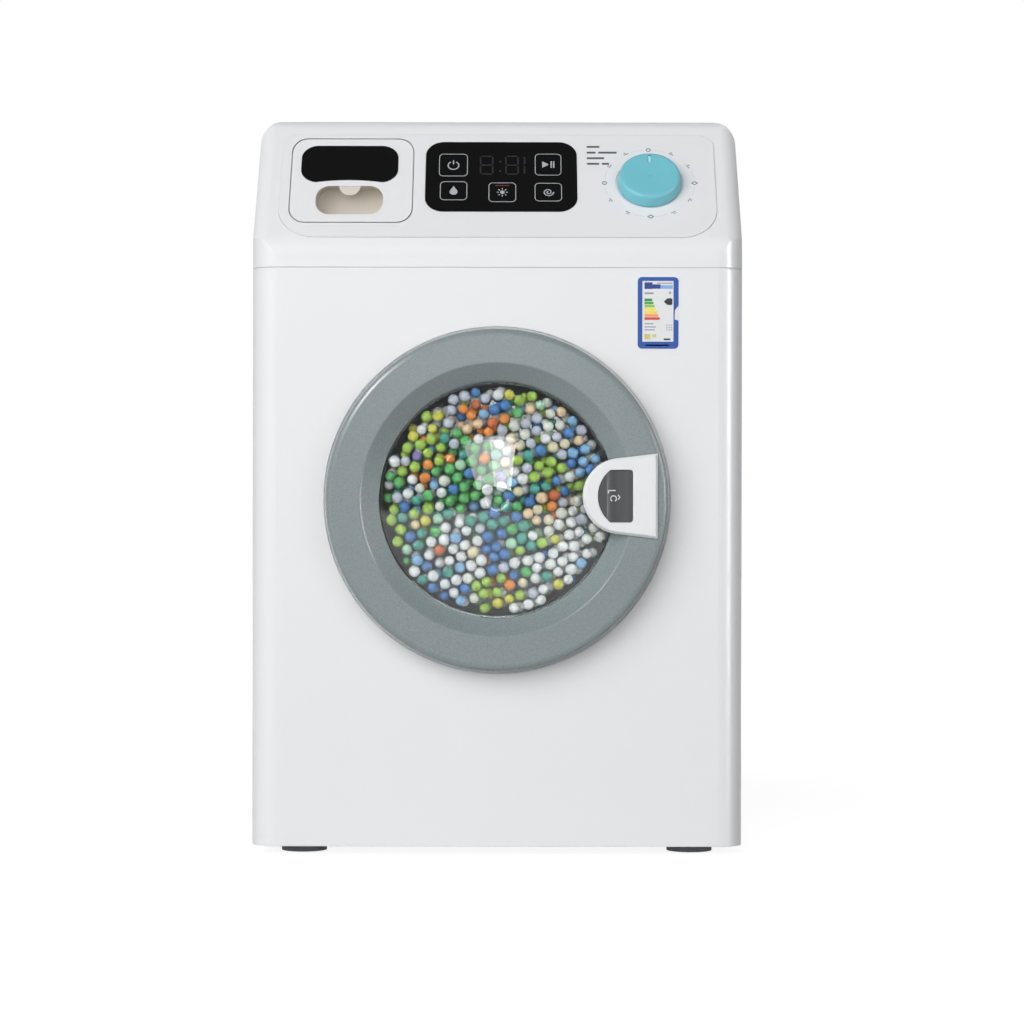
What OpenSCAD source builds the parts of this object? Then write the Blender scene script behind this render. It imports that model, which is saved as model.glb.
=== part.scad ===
// Toy washing machine with a turning drum, a swinging door with beads sealed in its window,
// a programme dial and a detergent drawer. Millimetres, +Z up, the front faces -Y, and the
// origin is the middle of the footprint on the surface that the toy stands on.

/* [Cabinet] */
// Width of the cabinet
cabinet_w = 171.5; // [166:0.5:180]
// Depth of the cabinet without the door
cabinet_d = 138; // [138:1:144]
// Height over all
total_h = 260; // [258:1:264]
// Height of the seam between the cabinet and the control head
seam_z = 204; // [202:1:206]
// Radius of the upright edges
edge_r = 9; // [7:0.5:11]
// Wall thickness of the cabinet shells
wall = 2.2; // [1.8:0.1:2.6]

/* [Control head] */
// Height of the bend where the sloped panel starts
bend_z = 212.6; // [211:0.2:214]
// Tilt of the panel from upright, in degrees
tilt = 36; // [34:1:38]
// Wall thickness of the control head
head_wall = 3; // [2.8:0.1:3.4]
// How much narrower the head is at its top, each side
head_draft = 0.7; // [0.3:0.1:1.5]

/* [Door] */
// Height of the door's centre
door_z = 123.5; // [122:0.5:125]
// How far the handle stands in front of the cabinet
door_proud = 12; // [12:0.5:14]
// Outer radius of the door ring
door_r = 59; // [58.8:0.1:59.2]
// Outer radius of the cone that leads in to the window
cone_r = 46.9; // [46:0.1:48]
// Radius of the clear window
window_r = 40.9; // [40.7:0.1:41.1]
// Diameter of one foam bead
bead_d = 3.65; // [3:0.05:3.8]
// Distance between neighbouring beads
bead_pitch = 4.4; // [4:0.1:5]

/* [Drum] */
// Outer radius of the drum
drum_r = 52; // [50:1:54]
// Length of the drum
drum_len = 62; // [56:1:64]
// Holes round the drum in one row
drum_holes = 12; // [9:3:18]
// Teeth of the drum gear
gear_teeth = 48; // [48]
// Teeth of the motor pinion
pinion_teeth = 12; // [12]

/* [Controls] */
// Across-panel place of the dial's centre
dial_x = 53.6; // [52:0.1:55]
// Up-slope place of the dial's centre, from the bend
dial_v = 28.2; // [27:0.1:29]
// Radius of the dial at its base
dial_r = 11.35; // [11:0.05:12]
// Across place of the drawer's centre
drawer_x = -51.6; // [-52:0.1:-51]
// Width of the drawer front
drawer_w = 43; // [42:0.5:44]

/* [Hidden] */
$fn = 64;

// Colours, as they show
white = "#EAEBED";
grey = "#8A9697";
dark = "#3A3A3A";
black = "#0D0D0D";
steel = "#A8ACB0";

// Faces of the cabinet
front_y = door_proud - (cabinet_d + door_proud) / 2;
back_y = front_y + cabinet_d;
split_y = 40;
skirt_z = 3;

foot_x = 68;
foot_y = [front_y + 17, back_y - 17];

// Gap that lets one piece pass another, and a fit that turns
gap = 0.35;
running = 0.06;

// The sloped panel: its plate stands proud of the slope by this much
plate_up = 0.4;
plate_seat = 1.6;
panel_w = 153.8;
panel_v0 = 2.8;
panel_v1 = 51.5;
board_n = -8.4;
board_skin = 1.6;
board_screw_at = [[-26, 12.5], [66, 12.5], [31, 46], [66, 46]];
lens_seat = -0.8;
lens_skin = 1.4;
key_at = [[-15.8, 36.5], [17.8, 36.8], [-15.6, 24.2], [1.6, 23.5], [17.8, 23.6]];
shaft_dial_r = 3;

// Screws
screw_r = 1.5;
small_screw_r = 1.2;
case_screw_x = 71;
case_screw_z = [22, 188];
bracket_post_x = 58;
bracket_post_z = [80, 168];
bracket_y0 = 19.5;
bracket_y1 = 22.5;
hinge_screw_x = -54.5;
hinge_screw_z = [door_z - 16, door_z + 16];

// Door hinge: an upright pin inside the ring's left edge
hinge_x = -54.5;
hinge_h = 5;
pin_r = 1.25;
knuckle_r = 2.6;
arm_in = 8;
arm_out = 11.5;
ring_h = 10.5;

// Window: a shallow cap of a sphere in front, a bowl behind
dome_h = 9.4;
dome_rise = 3.4;
dome_skin = 1.4;
dome_r = (window_r * window_r + dome_rise * dome_rise) / (2 * dome_rise);
raised_r = 22;
bead_reach = 37.8;
door_screw_r = 50.6;
door_screw_angle = [40, 90, 140, 220, 270, 320];

// Mouth of the cabinet, the rubber ring in it, and the groove round the door
mouth_r = 46.5;
seal_r = 43;
groove_d = 1.3;

// Drum and drive, measured as depth behind the cabinet's front face
drum_front = -11;
drum_skin = 1.6;
drum_back_h = drum_front - drum_len;
gear_m = 1;
gear_d = (gear_teeth + pinion_teeth) * gear_m / 2 + 0.15;
gear_w = 6;
gear_h = -96.5;
shaft_r = 4;
bush_r = 6;
bracket_h = front_y - bracket_y1;
motor_r = 12;
motor_h = -125;

// Drawer: its outline is straight along Y, so that it slides out through its opening
drawer_z0 = 220.6;
drawer_z1 = 252.6;
tray_y0 = -33;
tray_y1 = 24;
tray_wall = 1.6;
tray_half = 19;
tray_z0 = 222.4;
tray_z1 = 245;

// Battery compartment in the back
cell_r = 7.1;
cell_len = 50.5;
cell_z = [24.1, 39, 53.9];
cell_y = 64.6;
bay_x = 28.5;
bay_z0 = 15.4;
bay_z1 = 62.6;
bay_screw_z = 67;
bay_in = 27;
bay_y0 = cell_y - cell_r - 1.6;

// Speaker, and the switch beside the batteries
speaker_z = 172;
speaker_r = 18;
switch_x = 52;
switch_z = 40;
switch_travel = 4;

// Frames of reference: on the slope x, up-slope and outward; on the door x, up and forward
module on_slope() translate([0, front_y, bend_z]) rotate([90 - tilt, 0, 0]) children();
module on_door() translate([0, front_y, door_z]) rotate([90, 0, 0]) children();
module both_x() {
    children();
    mirror([1, 0, 0]) children();
}

// A convex outline with an exact arc of its own radius at each corner
function unit(v) = v / norm(v);
function to_prev(p, i) = unit(p[(i + len(p) - 1) % len(p)] - p[i]);
function to_next(p, i) = unit(p[(i + 1) % len(p)] - p[i]);
function half_angle(p, i) = acos(to_prev(p, i) * to_next(p, i)) / 2;
module rounded(p, r) {
    polygon([for (i = [0:len(p) - 1]) for (d = [to_prev(p, i), to_next(p, i)])
        p[i] + d * r[i] / tan(half_angle(p, i))]);
    for (i = [0:len(p) - 1]) if (r[i] > 0)
        translate(p[i] + unit(to_prev(p, i) + to_next(p, i)) * r[i] / sin(half_angle(p, i)))
            circle(r[i]);
}
module rounded_box(x0, x1, y0, y1, r)
    rounded([[x0, y0], [x1, y0], [x1, y1], [x0, y1]], [r, r, r, r]);

// Plan of the cabinet, drawn in by t
module plan(t)
    rounded_box(-cabinet_w / 2 + t, cabinet_w / 2 - t, front_y + t, back_y - t, edge_r - t);

// A ring of wall between two inset plans
module plan_ring(t0, t1, z0, z1)
    translate([0, 0, z0]) linear_extrude(z1 - z0) difference() {
        plan(t0);
        plan(t1);
    }

// Cylinder along +Y from y0 to y1 at (x, z)
module rod_y(x, z, y0, y1, r) translate([x, y1, z]) rotate([90, 0, 0]) cylinder(r = r, h = y1 - y0);

// A pan-head screw with a cross recess: its seat at the origin, its head along +Z
module screw(r, len, head_r, head_h) {
    translate([0, 0, -len]) cylinder(r = r, h = len);
    difference() {
        cylinder(r = head_r, h = head_h);
        for (a = [0, 90]) rotate([0, 0, a])
            translate([-head_r * 0.7, -0.35, head_h * 0.45]) cube([head_r * 1.4, 0.7, head_h]);
    }
}
module to_back(x, y, z) translate([x, y, z]) rotate([-90, 0, 0]) children();
module to_front(x, y, z) translate([x, y, z]) rotate([90, 0, 0]) children();

// Form of the control head, drawn in by t on every face but the bottom, which is at z0
module head_form(t, z0) {
    along = total_h - bend_z - t * (1 - sin(tilt));
    top_y = front_y + t * cos(tilt) + along * tan(tilt);
    bend_in = bend_z - t * tan(tilt / 2);
    intersection() {
        rotate([90, 0, 90]) translate([0, 0, -cabinet_w]) linear_extrude(2 * cabinet_w)
            rounded([[front_y + t, z0], [back_y - t, z0], [back_y - t, total_h - t],
                [top_y, total_h - t], [front_y + t, bend_in]],
                [0, 0, 8 - t, 7 - t, 12 - t]);
        translate([0, 0, z0]) linear_extrude(80) plan(t);
        translate([0, 200, 0]) rotate([90, 0, 0]) linear_extrude(400) rounded([
            [-cabinet_w / 2 + t, z0], [cabinet_w / 2 - t, z0],
            [cabinet_w / 2 - t - head_draft, total_h - t],
            [-cabinet_w / 2 + t + head_draft, total_h - t]], [0, 0, 9 - t, 9 - t]);
        on_slope() translate([0, -60, 0]) rotate([-90, 0, 0]) linear_extrude(260)
            rounded_box(-cabinet_w / 2 + t, cabinet_w / 2 - t, t, 200, 6 - t);
    }
}

// Outlines on the slope
module panel_outline(g)
    rounded([[-panel_w / 2 - g, panel_v0 - g], [panel_w / 2 + g, panel_v0 - g],
        [panel_w / 2 + g, panel_v1 + g], [-panel_w / 2 - g, panel_v1 + g]], [13, 13, 6, 6]);
module lens_outline(g) rounded_box(-25.6 - g, 28 + g, 14.5 - g, 47.7 + g, 6.5);

// Drawer outline, through everything along Y. The front's rim covers a ledge of the head's wall.
drawer_ledge = 1.5;
drawer_rim = 1.25;
drawer_gap = 0.3;
ledge_r = 2;
module drawer_through(g, r = 5.5)
    rotate([90, 0, 0]) linear_extrude(80)
        rounded_box(drawer_x - drawer_w / 2 - g, drawer_x + drawer_w / 2 + g,
            drawer_z0 - g, drawer_z1 + g, r);

// Outline of the handle in the door's frame, grown by g: a round end and two straight flanks.
// It sits a little above the level of the door's centre.
handle_c = 42.6;
handle_y = 1.3;
handle_r = 13.1;
handle_x1 = 55.4;
handle_lean = 6.9;
handle_seat = 8.3;
module handle_outline(g) {
    r = handle_r + g;
    tx = handle_c - r * sin(handle_lean);
    ty = r * cos(handle_lean);
    x1 = handle_x1 + g;
    ey = ty + (x1 - tx) * tan(handle_lean);
    translate([0, handle_y]) {
        intersection() {
            translate([handle_c, 0]) circle(r);
            translate([0, -30]) square([x1, 60]);
        }
        polygon([[tx, -ty], [x1, -ey], [x1, ey], [tx, ty]]);
    }
}

// Lower white housing: the front face with the door's mouth, and the front part of both sides
module front_shell() color(white) difference() {
    union() {
        intersection() {
            union() {
                plan_ring(0, wall, skirt_z, seam_z);
                plan_ring(wall, wall + 2, seam_z - 7, seam_z);
                plan_ring(head_wall + 0.3, wall + 2, seam_z - 1, seam_z + 4);
            }
            translate([-cabinet_w, front_y - 1, 0])
                cube([2 * cabinet_w, split_y - front_y + 1, total_h]);
        }
        for (z = hinge_screw_z) rod_y(hinge_screw_x, z, front_y + 1, front_y + wall + 1.6, 2.6);
        both_x() for (z = case_screw_z) {
            rod_y(case_screw_x, z, split_y - 24, split_y, 4);
            translate([case_screw_x, split_y - 24, z - 1]) cube([cabinet_w / 2 - case_screw_x - 1, 24, 2]);
        }
    }
    on_door() {
        translate([0, 0, -10]) cylinder(r = mouth_r, h = 20);
        for (s = [-1, 1]) translate([hinge_x - knuckle_r + 0.1, s > 0 ? arm_in - gap : -arm_out - gap, -6])
            cube([2 * knuckle_r - 0.2, arm_out - arm_in + 2 * gap, 12]);
        translate([49.2, -5.2, -6]) cube([4.7, 10.4, 12]);
        // Shadow groove round the door
        translate([0, 0, -groove_d]) difference() {
            cylinder(r = door_r + 1.3, h = 10, $fn = 128);
            translate([0, 0, -1]) cylinder(r = door_r - 0.3, h = 20, $fn = 128);
        }
    }
    both_x() for (z = case_screw_z) rod_y(case_screw_x, z, split_y - 20, split_y + 1, screw_r);
    for (z = hinge_screw_z) rod_y(hinge_screw_x, z, front_y + 0.8, front_y + 6, small_screw_r);
}

function grille_half(i) = sqrt(15 * 15 - i * i * 16);

// Back half of the lower housing, with the speaker grille, battery opening and switch slot
module rear_shell() color(white) difference() {
    union() {
        intersection() {
            union() {
                plan_ring(0, wall, skirt_z, seam_z);
                plan_ring(wall, wall + 2, seam_z - 7, seam_z);
                plan_ring(head_wall + 0.3, wall + 2, seam_z - 1, seam_z + 4);
            }
            translate([-cabinet_w, split_y, 0]) cube([2 * cabinet_w, back_y - split_y + 1, total_h]);
        }
        both_x() {
            for (z = case_screw_z) {
                rod_y(case_screw_x, z, split_y, back_y - 1, 4);
                translate([case_screw_x, split_y, z - 1])
                    cube([cabinet_w / 2 - case_screw_x - 1, back_y - split_y - 1, 2]);
            }
            for (z = bracket_post_z) rod_y(bracket_post_x, z, bracket_y1, back_y - 1, 4);
            translate([55, 62, seam_z - 12]) cube([10, back_y - 64, 12]);
            translate([55, 62, seam_z - 1]) cube([10, back_y - head_wall - 62.05, 17]);
        }
    }
    both_x() {
        for (z = case_screw_z) {
            rod_y(case_screw_x, z, split_y - 1, back_y + 1, screw_r);
            rod_y(case_screw_x, z, back_y - 14, back_y + 1, 3.2);
        }
        for (z = bracket_post_z) rod_y(bracket_post_x, z, bracket_y1 - 1, bracket_y1 + 12, small_screw_r);
        rod_y(60, 214, 60, back_y + 1, screw_r);
    }
    // Battery opening with the ear for its screw
    rotate([90, 0, 0]) translate([0, 0, -back_y - 1]) linear_extrude(5)
        rounded_box(-bay_x, bay_x, bay_z0, bay_z1, 3);
    translate([-6, back_y - 4, bay_z1 - 2]) cube([12, 6, bay_screw_z + 4 - bay_z1 + 2]);
    // Speaker grille, seven slots in a round field
    for (i = [-3:3]) rotate([90, 0, 0]) translate([0, 0, -back_y - 1]) linear_extrude(5)
        rounded_box(-grille_half(i), grille_half(i), speaker_z + i * 4 - 1, speaker_z + i * 4 + 1, 0.9);
    // Switch slot
    translate([switch_x - 5, back_y - 4, switch_z - 3]) cube([10, 6, 6]);
}

// Upper white housing with the sloped panel's seat, cut out for the drawer, window and dial
module control_head() color(white) difference() {
    head_form(0, seam_z);
    difference() {
        head_form(head_wall, seam_z - 1);
        // Posts that carry the control board
        on_slope() board_posts();
    }
    // Shadow groove along the seam
    plan_ring(-1, 0.35, seam_z - 1, seam_z + 0.4);
    on_slope() {
        translate([0, 0, -plate_seat]) linear_extrude(20) panel_outline(0.05);
        translate([0, 0, -12]) linear_extrude(20) rounded_box(-23, 26, 16.5, 45.5, 4);
        translate([dial_x, dial_v, -20]) cylinder(r = 4.4, h = 30);
        for (p = board_screw_at) translate([p[0], p[1], board_n - 1]) cylinder(r = 1.1, h = 6);
    }
    drawer_through(drawer_gap - drawer_ledge, ledge_r);
    both_x() {
        rod_y(60, 214, 60, back_y + 1, screw_r);
        rod_y(60, 214, back_y - 1.2, back_y + 1, 3.2);
    }
}
module board_posts() for (p = board_screw_at)
    translate([p[0], p[1], board_n]) cylinder(r = 2.6, h = 8);

// Bottom plate between the shells
module base_plate() color(white) difference() {
    union() {
        translate([0, 0, skirt_z]) linear_extrude(3) plan(wall);
        both_x() for (y = [-20, 20]) translate([40, y - 1, skirt_z + 2]) cube([30, 2, 5]);
    }
    both_x() for (y = foot_y) translate([foot_x, y, 0]) cylinder(r = 3, h = 20);
}

// Four rubber feet with plugs
module feet() color("#707478") both_x() for (y = foot_y) translate([foot_x, y, 0]) {
    cylinder(r = 8, h = skirt_z);
    cylinder(r = 3, h = skirt_z + 3);
}

// Rubber ring that lines the mouth
module door_seal() color("#9A9EA2") on_door() rotate_extrude()
    polygon([[seal_r, -6], [seal_r + 1.6, -6.4], [mouth_r + 3, -3.6], [mouth_r + 3, -wall],
        [mouth_r, -wall], [mouth_r, 0], [mouth_r + 0.6, 0.2], [mouth_r, 0.4], [seal_r + 0.4, 0.4],
        [seal_r, 0]]);

// Hinge bracket behind the front wall, whose two arms reach out to the pin
module hinge_bracket() color(steel) on_door() difference() {
    union() {
        translate([-62, -20, -wall - 1.6]) cube([11.6, 40, 1.6]);
        for (y = [-arm_out, arm_in]) {
            translate([hinge_x - 2, y, -wall - 1]) cube([4, arm_out - arm_in, hinge_h + wall + 1]);
            translate([hinge_x, y, hinge_h]) rotate([-90, 0, 0])
                cylinder(r = knuckle_r, h = arm_out - arm_in);
        }
    }
    translate([hinge_x, -arm_out - 1, hinge_h]) rotate([-90, 0, 0])
        cylinder(r = pin_r, h = 2 * arm_out + 2);
    for (y = [-16, 16]) translate([hinge_screw_x, y, -10]) cylinder(r = 2.6, h = 20);
    translate([0, 0, -10]) cylinder(r = mouth_r + 3.1, h = 20);
}

// Steel pin pressed in the two arms
module hinge_pin() color(steel) on_door()
    translate([hinge_x, -arm_out, hinge_h]) rotate([-90, 0, 0]) cylinder(r = pin_r, h = 2 * arm_out);

// Screws of the hinge bracket, into bosses of the front wall
module hinge_screws() color(steel) for (z = hinge_screw_z)
    to_back(hinge_screw_x, front_y + wall + 1.6, z) screw(small_screw_r, 3, 3.6, 1.6);

// Catch behind the slot in the front wall
module latch_keeper() color(white) on_door() difference() {
    translate([49.8, -8, -wall - 4.3]) cube([8.4, 16, 4.3]);
    translate([48, -5.2, -wall - 6]) cube([5.9, 10.4, 8]);
}

// Panel plate, seated in the slope, with a pocket for the lens and a dish under the dial
module control_fascia() color(white) difference() {
    on_slope() difference() {
        translate([0, 0, -plate_seat]) linear_extrude(plate_seat + plate_up) panel_outline(0);
        translate([0, 0, lens_seat]) linear_extrude(5) lens_outline(0.05);
        translate([0, 0, -5]) linear_extrude(10) rounded_box(-21, 24.5, 18, 44.3, 4);
        translate([dial_x, dial_v, -5]) cylinder(r = 4.4, h = 10);
        translate([dial_x, dial_v, 0]) cylinder(r = dial_r + 0.6, h = 3);
    }
    drawer_through(drawer_gap);
}

// Black gloss window over the digits and touch keys
module display_lens() color(black) on_slope()
    translate([0, 0, lens_seat]) linear_extrude(lens_skin) lens_outline(0);

// Four-digit module behind the window, soldered to the board
module display_module() color("#2A2A2C") on_slope() {
    translate([-7.5, 28.9, board_n]) cube([20, 13.4, lens_seat - board_n]);
}

// Conductive foam pads between the board and the five printed keys
module touch_pads() color("#55585C") on_slope() for (p = key_at)
    translate([p[0], p[1], board_n]) cylinder(r = 3.1, h = lens_seat - board_n);

module control_board() color("#2E7D4F") on_slope() difference() {
    translate([0, 0, board_n - board_skin]) linear_extrude(board_skin) rounded_box(-29, 70, 9, 49, 2);
    for (p = board_screw_at) translate([p[0], p[1], board_n - 5]) cylinder(r = 1.1, h = 10);
}

module board_screws() color(steel) on_slope() for (p = board_screw_at)
    translate([p[0], p[1], board_n - board_skin]) rotate([180, 0, 0]) screw(1.1, 4.6, 2.4, 1.4);

// Rotary encoder of the dial: can and threaded neck, with the detent sealed inside
module dial_encoder() color(steel) on_slope() translate([dial_x, dial_v, 0]) difference() {
    union() {
        translate([-6.4, -6.4, board_n]) cube([12.8, 12.8, 4.8]);
        translate([0, 0, board_n + 4]) cylinder(r = 4, h = 8);
    }
    translate([0, 0, board_n + 2]) cylinder(r = shaft_dial_r + running, h = 20);
    translate([0, 0, -0.2]) cylinder(r = 10, h = 20);
}

// Channel that the detergent drawer runs in, hung from the top of the head
module drawer_guide() color(white) translate([drawer_x, 0, 0]) {
    translate([-tray_half - 2, tray_y0 + 1, tray_z0 - 2.9])
        cube([2 * tray_half + 4, tray_y1 - tray_y0 + 2, 2.6]);
    both_x() {
        translate([tray_half + 0.4, tray_y0 + 1, tray_z0 - 2.9])
            cube([1.6, tray_y1 - tray_y0 + 2, 12]);
        translate([tray_half + 0.4, tray_y1 - 20, tray_z0])
            cube([1.6, 23, total_h - head_wall - tray_z0]);
    }
    translate([-tray_half - 2, tray_y1 + gap, tray_z0 - 2.9]) cube([2 * tray_half + 4, 2.65, 12]);
}

// Plate with the drum's bearing seat, four arms and a cradle round the motor
module gearbox_bracket() color("#C9CCD0") difference() {
    union() {
        on_door() {
            translate([0, 0, bracket_h]) linear_extrude(bracket_y1 - bracket_y0) {
                circle(15);
                translate([0, -gear_d]) circle(15);
                translate([-15, -gear_d]) square([30, gear_d]);
            }
            translate([0, 0, bracket_h - 2]) cylinder(r = 9, h = 3);
        }
        both_x() for (z = bracket_post_z) bracket_arm(z);
        on_door() translate([0, -gear_d, 0]) {
            translate([0, 0, motor_h + 5]) cylinder(r = motor_r + 2.2, h = 18);
            both_x() translate([motor_r - 1, -5, motor_h + 5]) cube([3.2, 10, bracket_h - motor_h - 4]);
        }
    }
    on_door() {
        translate([0, 0, bracket_h - 10]) cylinder(r = bush_r, h = 20);
        translate([0, -gear_d, 0]) {
            translate([0, 0, bracket_h - 10]) cylinder(r = 1 + running, h = 20);
            translate([0, 0, motor_h - 1]) cylinder(r = motor_r, h = bracket_h - motor_h + 0.9);
        }
    }
    both_x() for (z = bracket_post_z) rod_y(bracket_post_x, z, 0, 40, small_screw_r);
}
module bracket_arm(z) {
    rise = z - door_z;
    reach = norm([bracket_post_x, rise]);
    translate([0, bracket_y1, door_z]) rotate([90, 0, 0]) rotate([0, 0, atan2(rise, bracket_post_x)]) {
        translate([0, -5, 0]) cube([reach, 10, bracket_y1 - bracket_y0]);
        translate([16, -0.8, 0]) cube([reach - 23, 1.6, bracket_y1 - bracket_y0 + 2]);
        translate([reach, 0, 0]) cylinder(r = 5, h = bracket_y1 - bracket_y0);
    }
}

module gearbox_screws() color(steel) both_x() for (z = bracket_post_z)
    to_front(bracket_post_x, bracket_y0, z) screw(small_screw_r, 10, 3, 1.8);

// Flanged bearing bush of the drum shaft
module drum_bush() color("#C8A95A") on_door() difference() {
    union() {
        translate([0, 0, bracket_h - 3.5]) cylinder(r = bush_r, h = 8);
        translate([0, 0, bracket_h + bracket_y1 - bracket_y0]) cylinder(r = bush_r + 2.5, h = 1.5);
    }
    translate([0, 0, bracket_h - 10]) cylinder(r = shaft_r + running, h = 30);
}

// Small round motor with its terminal cap
module drive_motor() color(steel) on_door() translate([0, -gear_d, 0]) difference() {
    union() {
        translate([0, 0, motor_h]) cylinder(r = motor_r, h = 25);
        translate([0, 0, motor_h + 24]) cylinder(r = 3, h = 2.4);
        translate([0, 0, motor_h - 2]) cylinder(r = motor_r - 2, h = 3);
        for (s = [-1, 1]) translate([s * 6 - 0.4, -1.5, motor_h - 5]) cube([0.8, 3, 4]);
    }
    translate([0, 0, motor_h + 4]) cylinder(r = 1 + running, h = 30);
}

// Open-backed tray for the cells, with the boss of the cover's screw
module battery_box() color("#5A5E62") difference() {
    union() {
        translate([-bay_x - 1.6, bay_y0, bay_z0 - 1.4])
            cube([2 * bay_x + 3.2, back_y - wall - bay_y0, bay_z1 - bay_z0 + 2.8]);
        rod_y(0, bay_screw_z, back_y - 12, back_y - wall, 3.4);
    }
    translate([-bay_in, bay_y0 + 1.6, cell_z[0] - cell_r - 0.2])
        cube([2 * bay_in, 30, cell_z[2] - cell_z[0] + 2 * cell_r + 0.4]);
    for (s = [-1, 1]) translate([s * 15 - 3.2, back_y - wall - 1.8, bay_z0 - 2]) cube([6.4, 3, 3.2]);
    rod_y(0, bay_screw_z, back_y - 10, back_y, small_screw_r);
}

module battery_cells() color("#3F6FA8") for (z = cell_z) translate([0, cell_y, z])
    rotate([0, 90, 0]) {
        translate([0, 0, -cell_len / 2]) cylinder(r = cell_r, h = cell_len - 1.4);
        translate([0, 0, cell_len / 2 - 2]) cylinder(r = 2.7, h = 2);
    }

// Contact plates with a button for each cell
module battery_contacts() color(steel) for (s = [-1, 1]) {
    translate([s > 0 ? bay_in - 0.7 : -bay_in, cell_y - 5.5, cell_z[0] - 5.5])
        cube([0.7, 11, cell_z[2] - cell_z[0] + 11]);
    for (z = cell_z) translate([s * (bay_in - 0.7), cell_y, z]) rotate([0, -90 * s, 0])
        cylinder(r1 = 4, r2 = 2.4, h = bay_in - 0.7 - cell_len / 2);
}

// Cover with two tabs at its foot and an ear for its screw
module battery_cover() color(white) difference() {
    union() {
        rotate([90, 0, 0]) translate([0, 0, -back_y]) linear_extrude(wall)
            rounded_box(-bay_x + 0.2, bay_x - 0.2, bay_z0 + 0.2, bay_z1 - 0.2, 2.8);
        translate([-5.8, back_y - wall, bay_z1 - 3]) cube([11.6, wall, bay_screw_z + 3.8 - bay_z1 + 3]);
        for (s = [-1, 1]) {
            translate([s * 15 - 3, back_y - wall - 1.6, bay_z0 - 1.8]) cube([6, 1.6, 2.9]);
            translate([s * 15 - 3, back_y - wall - 1.6, bay_z0 + 0.4]) cube([6, 2, 0.7]);
        }
    }
    rod_y(0, bay_screw_z, back_y - 5, back_y + 1, small_screw_r);
    rod_y(0, bay_screw_z, back_y - 1.2, back_y + 1, 3);
    for (i = [0:4]) translate([-12, back_y - 0.5, 22 + i * 2.4]) cube([24, 1, 1]);
}

module battery_cover_screw() color(steel)
    to_back(0, back_y - 1.2, bay_screw_z) screw(small_screw_r, 8, 2.8, 1.1);

module speaker() color("#2C2E30") to_back(0, back_y - wall - 14, speaker_z) rotate_extrude()
    polygon([[0, 0], [9, 0], [9, 6], [11, 7], [speaker_r - 1.4, 11.6], [speaker_r, 11.6],
        [speaker_r, 14], [speaker_r - 2, 14], [speaker_r - 4, 12.2], [6, 8.8], [4, 10.6], [0, 11.4]]);

// Slide switch behind the slot in the back
module switch_body() color("#2C2E30") difference() {
    translate([switch_x - 8, back_y - wall - 8, switch_z - 5.5]) cube([16, 8, 11]);
    translate([switch_x - 5, back_y - wall - 6, switch_z - 3]) cube([10, 8, 6]);
}

module case_screws() color(steel) both_x() for (z = case_screw_z)
    to_back(case_screw_x, back_y - 14, z) screw(screw_r, back_y - 14 - split_y + 18, 3, 2);

module head_screws() color(steel) both_x()
    to_back(60, back_y - 1.2, 214) screw(screw_r, 11, 3, 1.2);

// Printed label at the upper right of the front
module panel_sticker() color("#F4F6F8") translate([0, front_y, 0]) rotate([90, 0, 0])
    linear_extrude(0.2) rounded_box(48.7, 63, 176.1, 201.1, 1.5);

// Profile of the door ring: flat face, bevel, drawn-in side, inner cone and lip
module ring_profile() difference() {
    polygon([[door_r - 3, 0.5], [door_r - 0.6, 3], [door_r, 5], [door_r, 8.8], [door_r - 0.5, 9.8],
        [door_r - 1, 10.2], [door_r - 2, ring_h], [cone_r + 0.4, ring_h], [cone_r, ring_h - 0.2],
        [window_r + 0.3, 5.6], [window_r, 5], [window_r, 4.2], [window_r + 3.6, 4.2],
        [window_r + 3.6, 0.5]]);
    polygon([[0, 0], [door_r - 5.1, 0], [door_r - 5.1, 0.5], [door_r - 2.8, 3], [0, 3]]);
}

// Hollow inside the ring, open to the back, left solid under the handle and round the screws
module ring_hollow() difference() {
    rotate_extrude($fn = 128) polygon([[window_r + 5.6, 2.5], [door_r - 2.94, 2.5],
        [door_r - 2.2, 5], [door_r - 2.2, handle_seat], [cone_r + 1.3, handle_seat],
        [window_r + 5.6, 7.2]]);
    linear_extrude(20) handle_outline(1.5);
    for (a = door_screw_angle) rotate([0, 0, a]) translate([door_screw_r, 0, 0])
        cylinder(r = 2.4, h = 20);
}

// Grey ring of the door, with the handle's seat, screw posts and the hinge knuckle
module door_ring() color(grey) on_door() difference() {
    union() {
        difference() {
            rotate_extrude($fn = 128) ring_profile();
            ring_hollow();
        }
        translate([hinge_x, -arm_in, hinge_h]) rotate([-90, 0, 0])
            cylinder(r = knuckle_r, h = 2 * arm_in);
        translate([hinge_x - 1.8, -arm_in, hinge_h]) cube([3.6, 2 * arm_in, handle_seat - hinge_h + 0.5]);
    }
    translate([0, 0, handle_seat]) linear_extrude(10) handle_outline(0.03);
    for (a = door_screw_angle) rotate([0, 0, a]) translate([door_screw_r, 0, -1])
        cylinder(r = small_screw_r, h = 8);
    translate([hinge_x, -arm_in - 1, hinge_h]) rotate([-90, 0, 0])
        cylinder(r = pin_r + running, h = 2 * arm_in + 2);
    arm_slots();
}

// Space that the two hinge arms sweep inside the door
module arm_slots() for (y = [-arm_out - gap, arm_in - gap])
    translate([hinge_x - 10, y, -2])
        cube([10 + knuckle_r + gap, arm_out - arm_in + 2 * gap, hinge_h + knuckle_r + gap + 2]);

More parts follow.
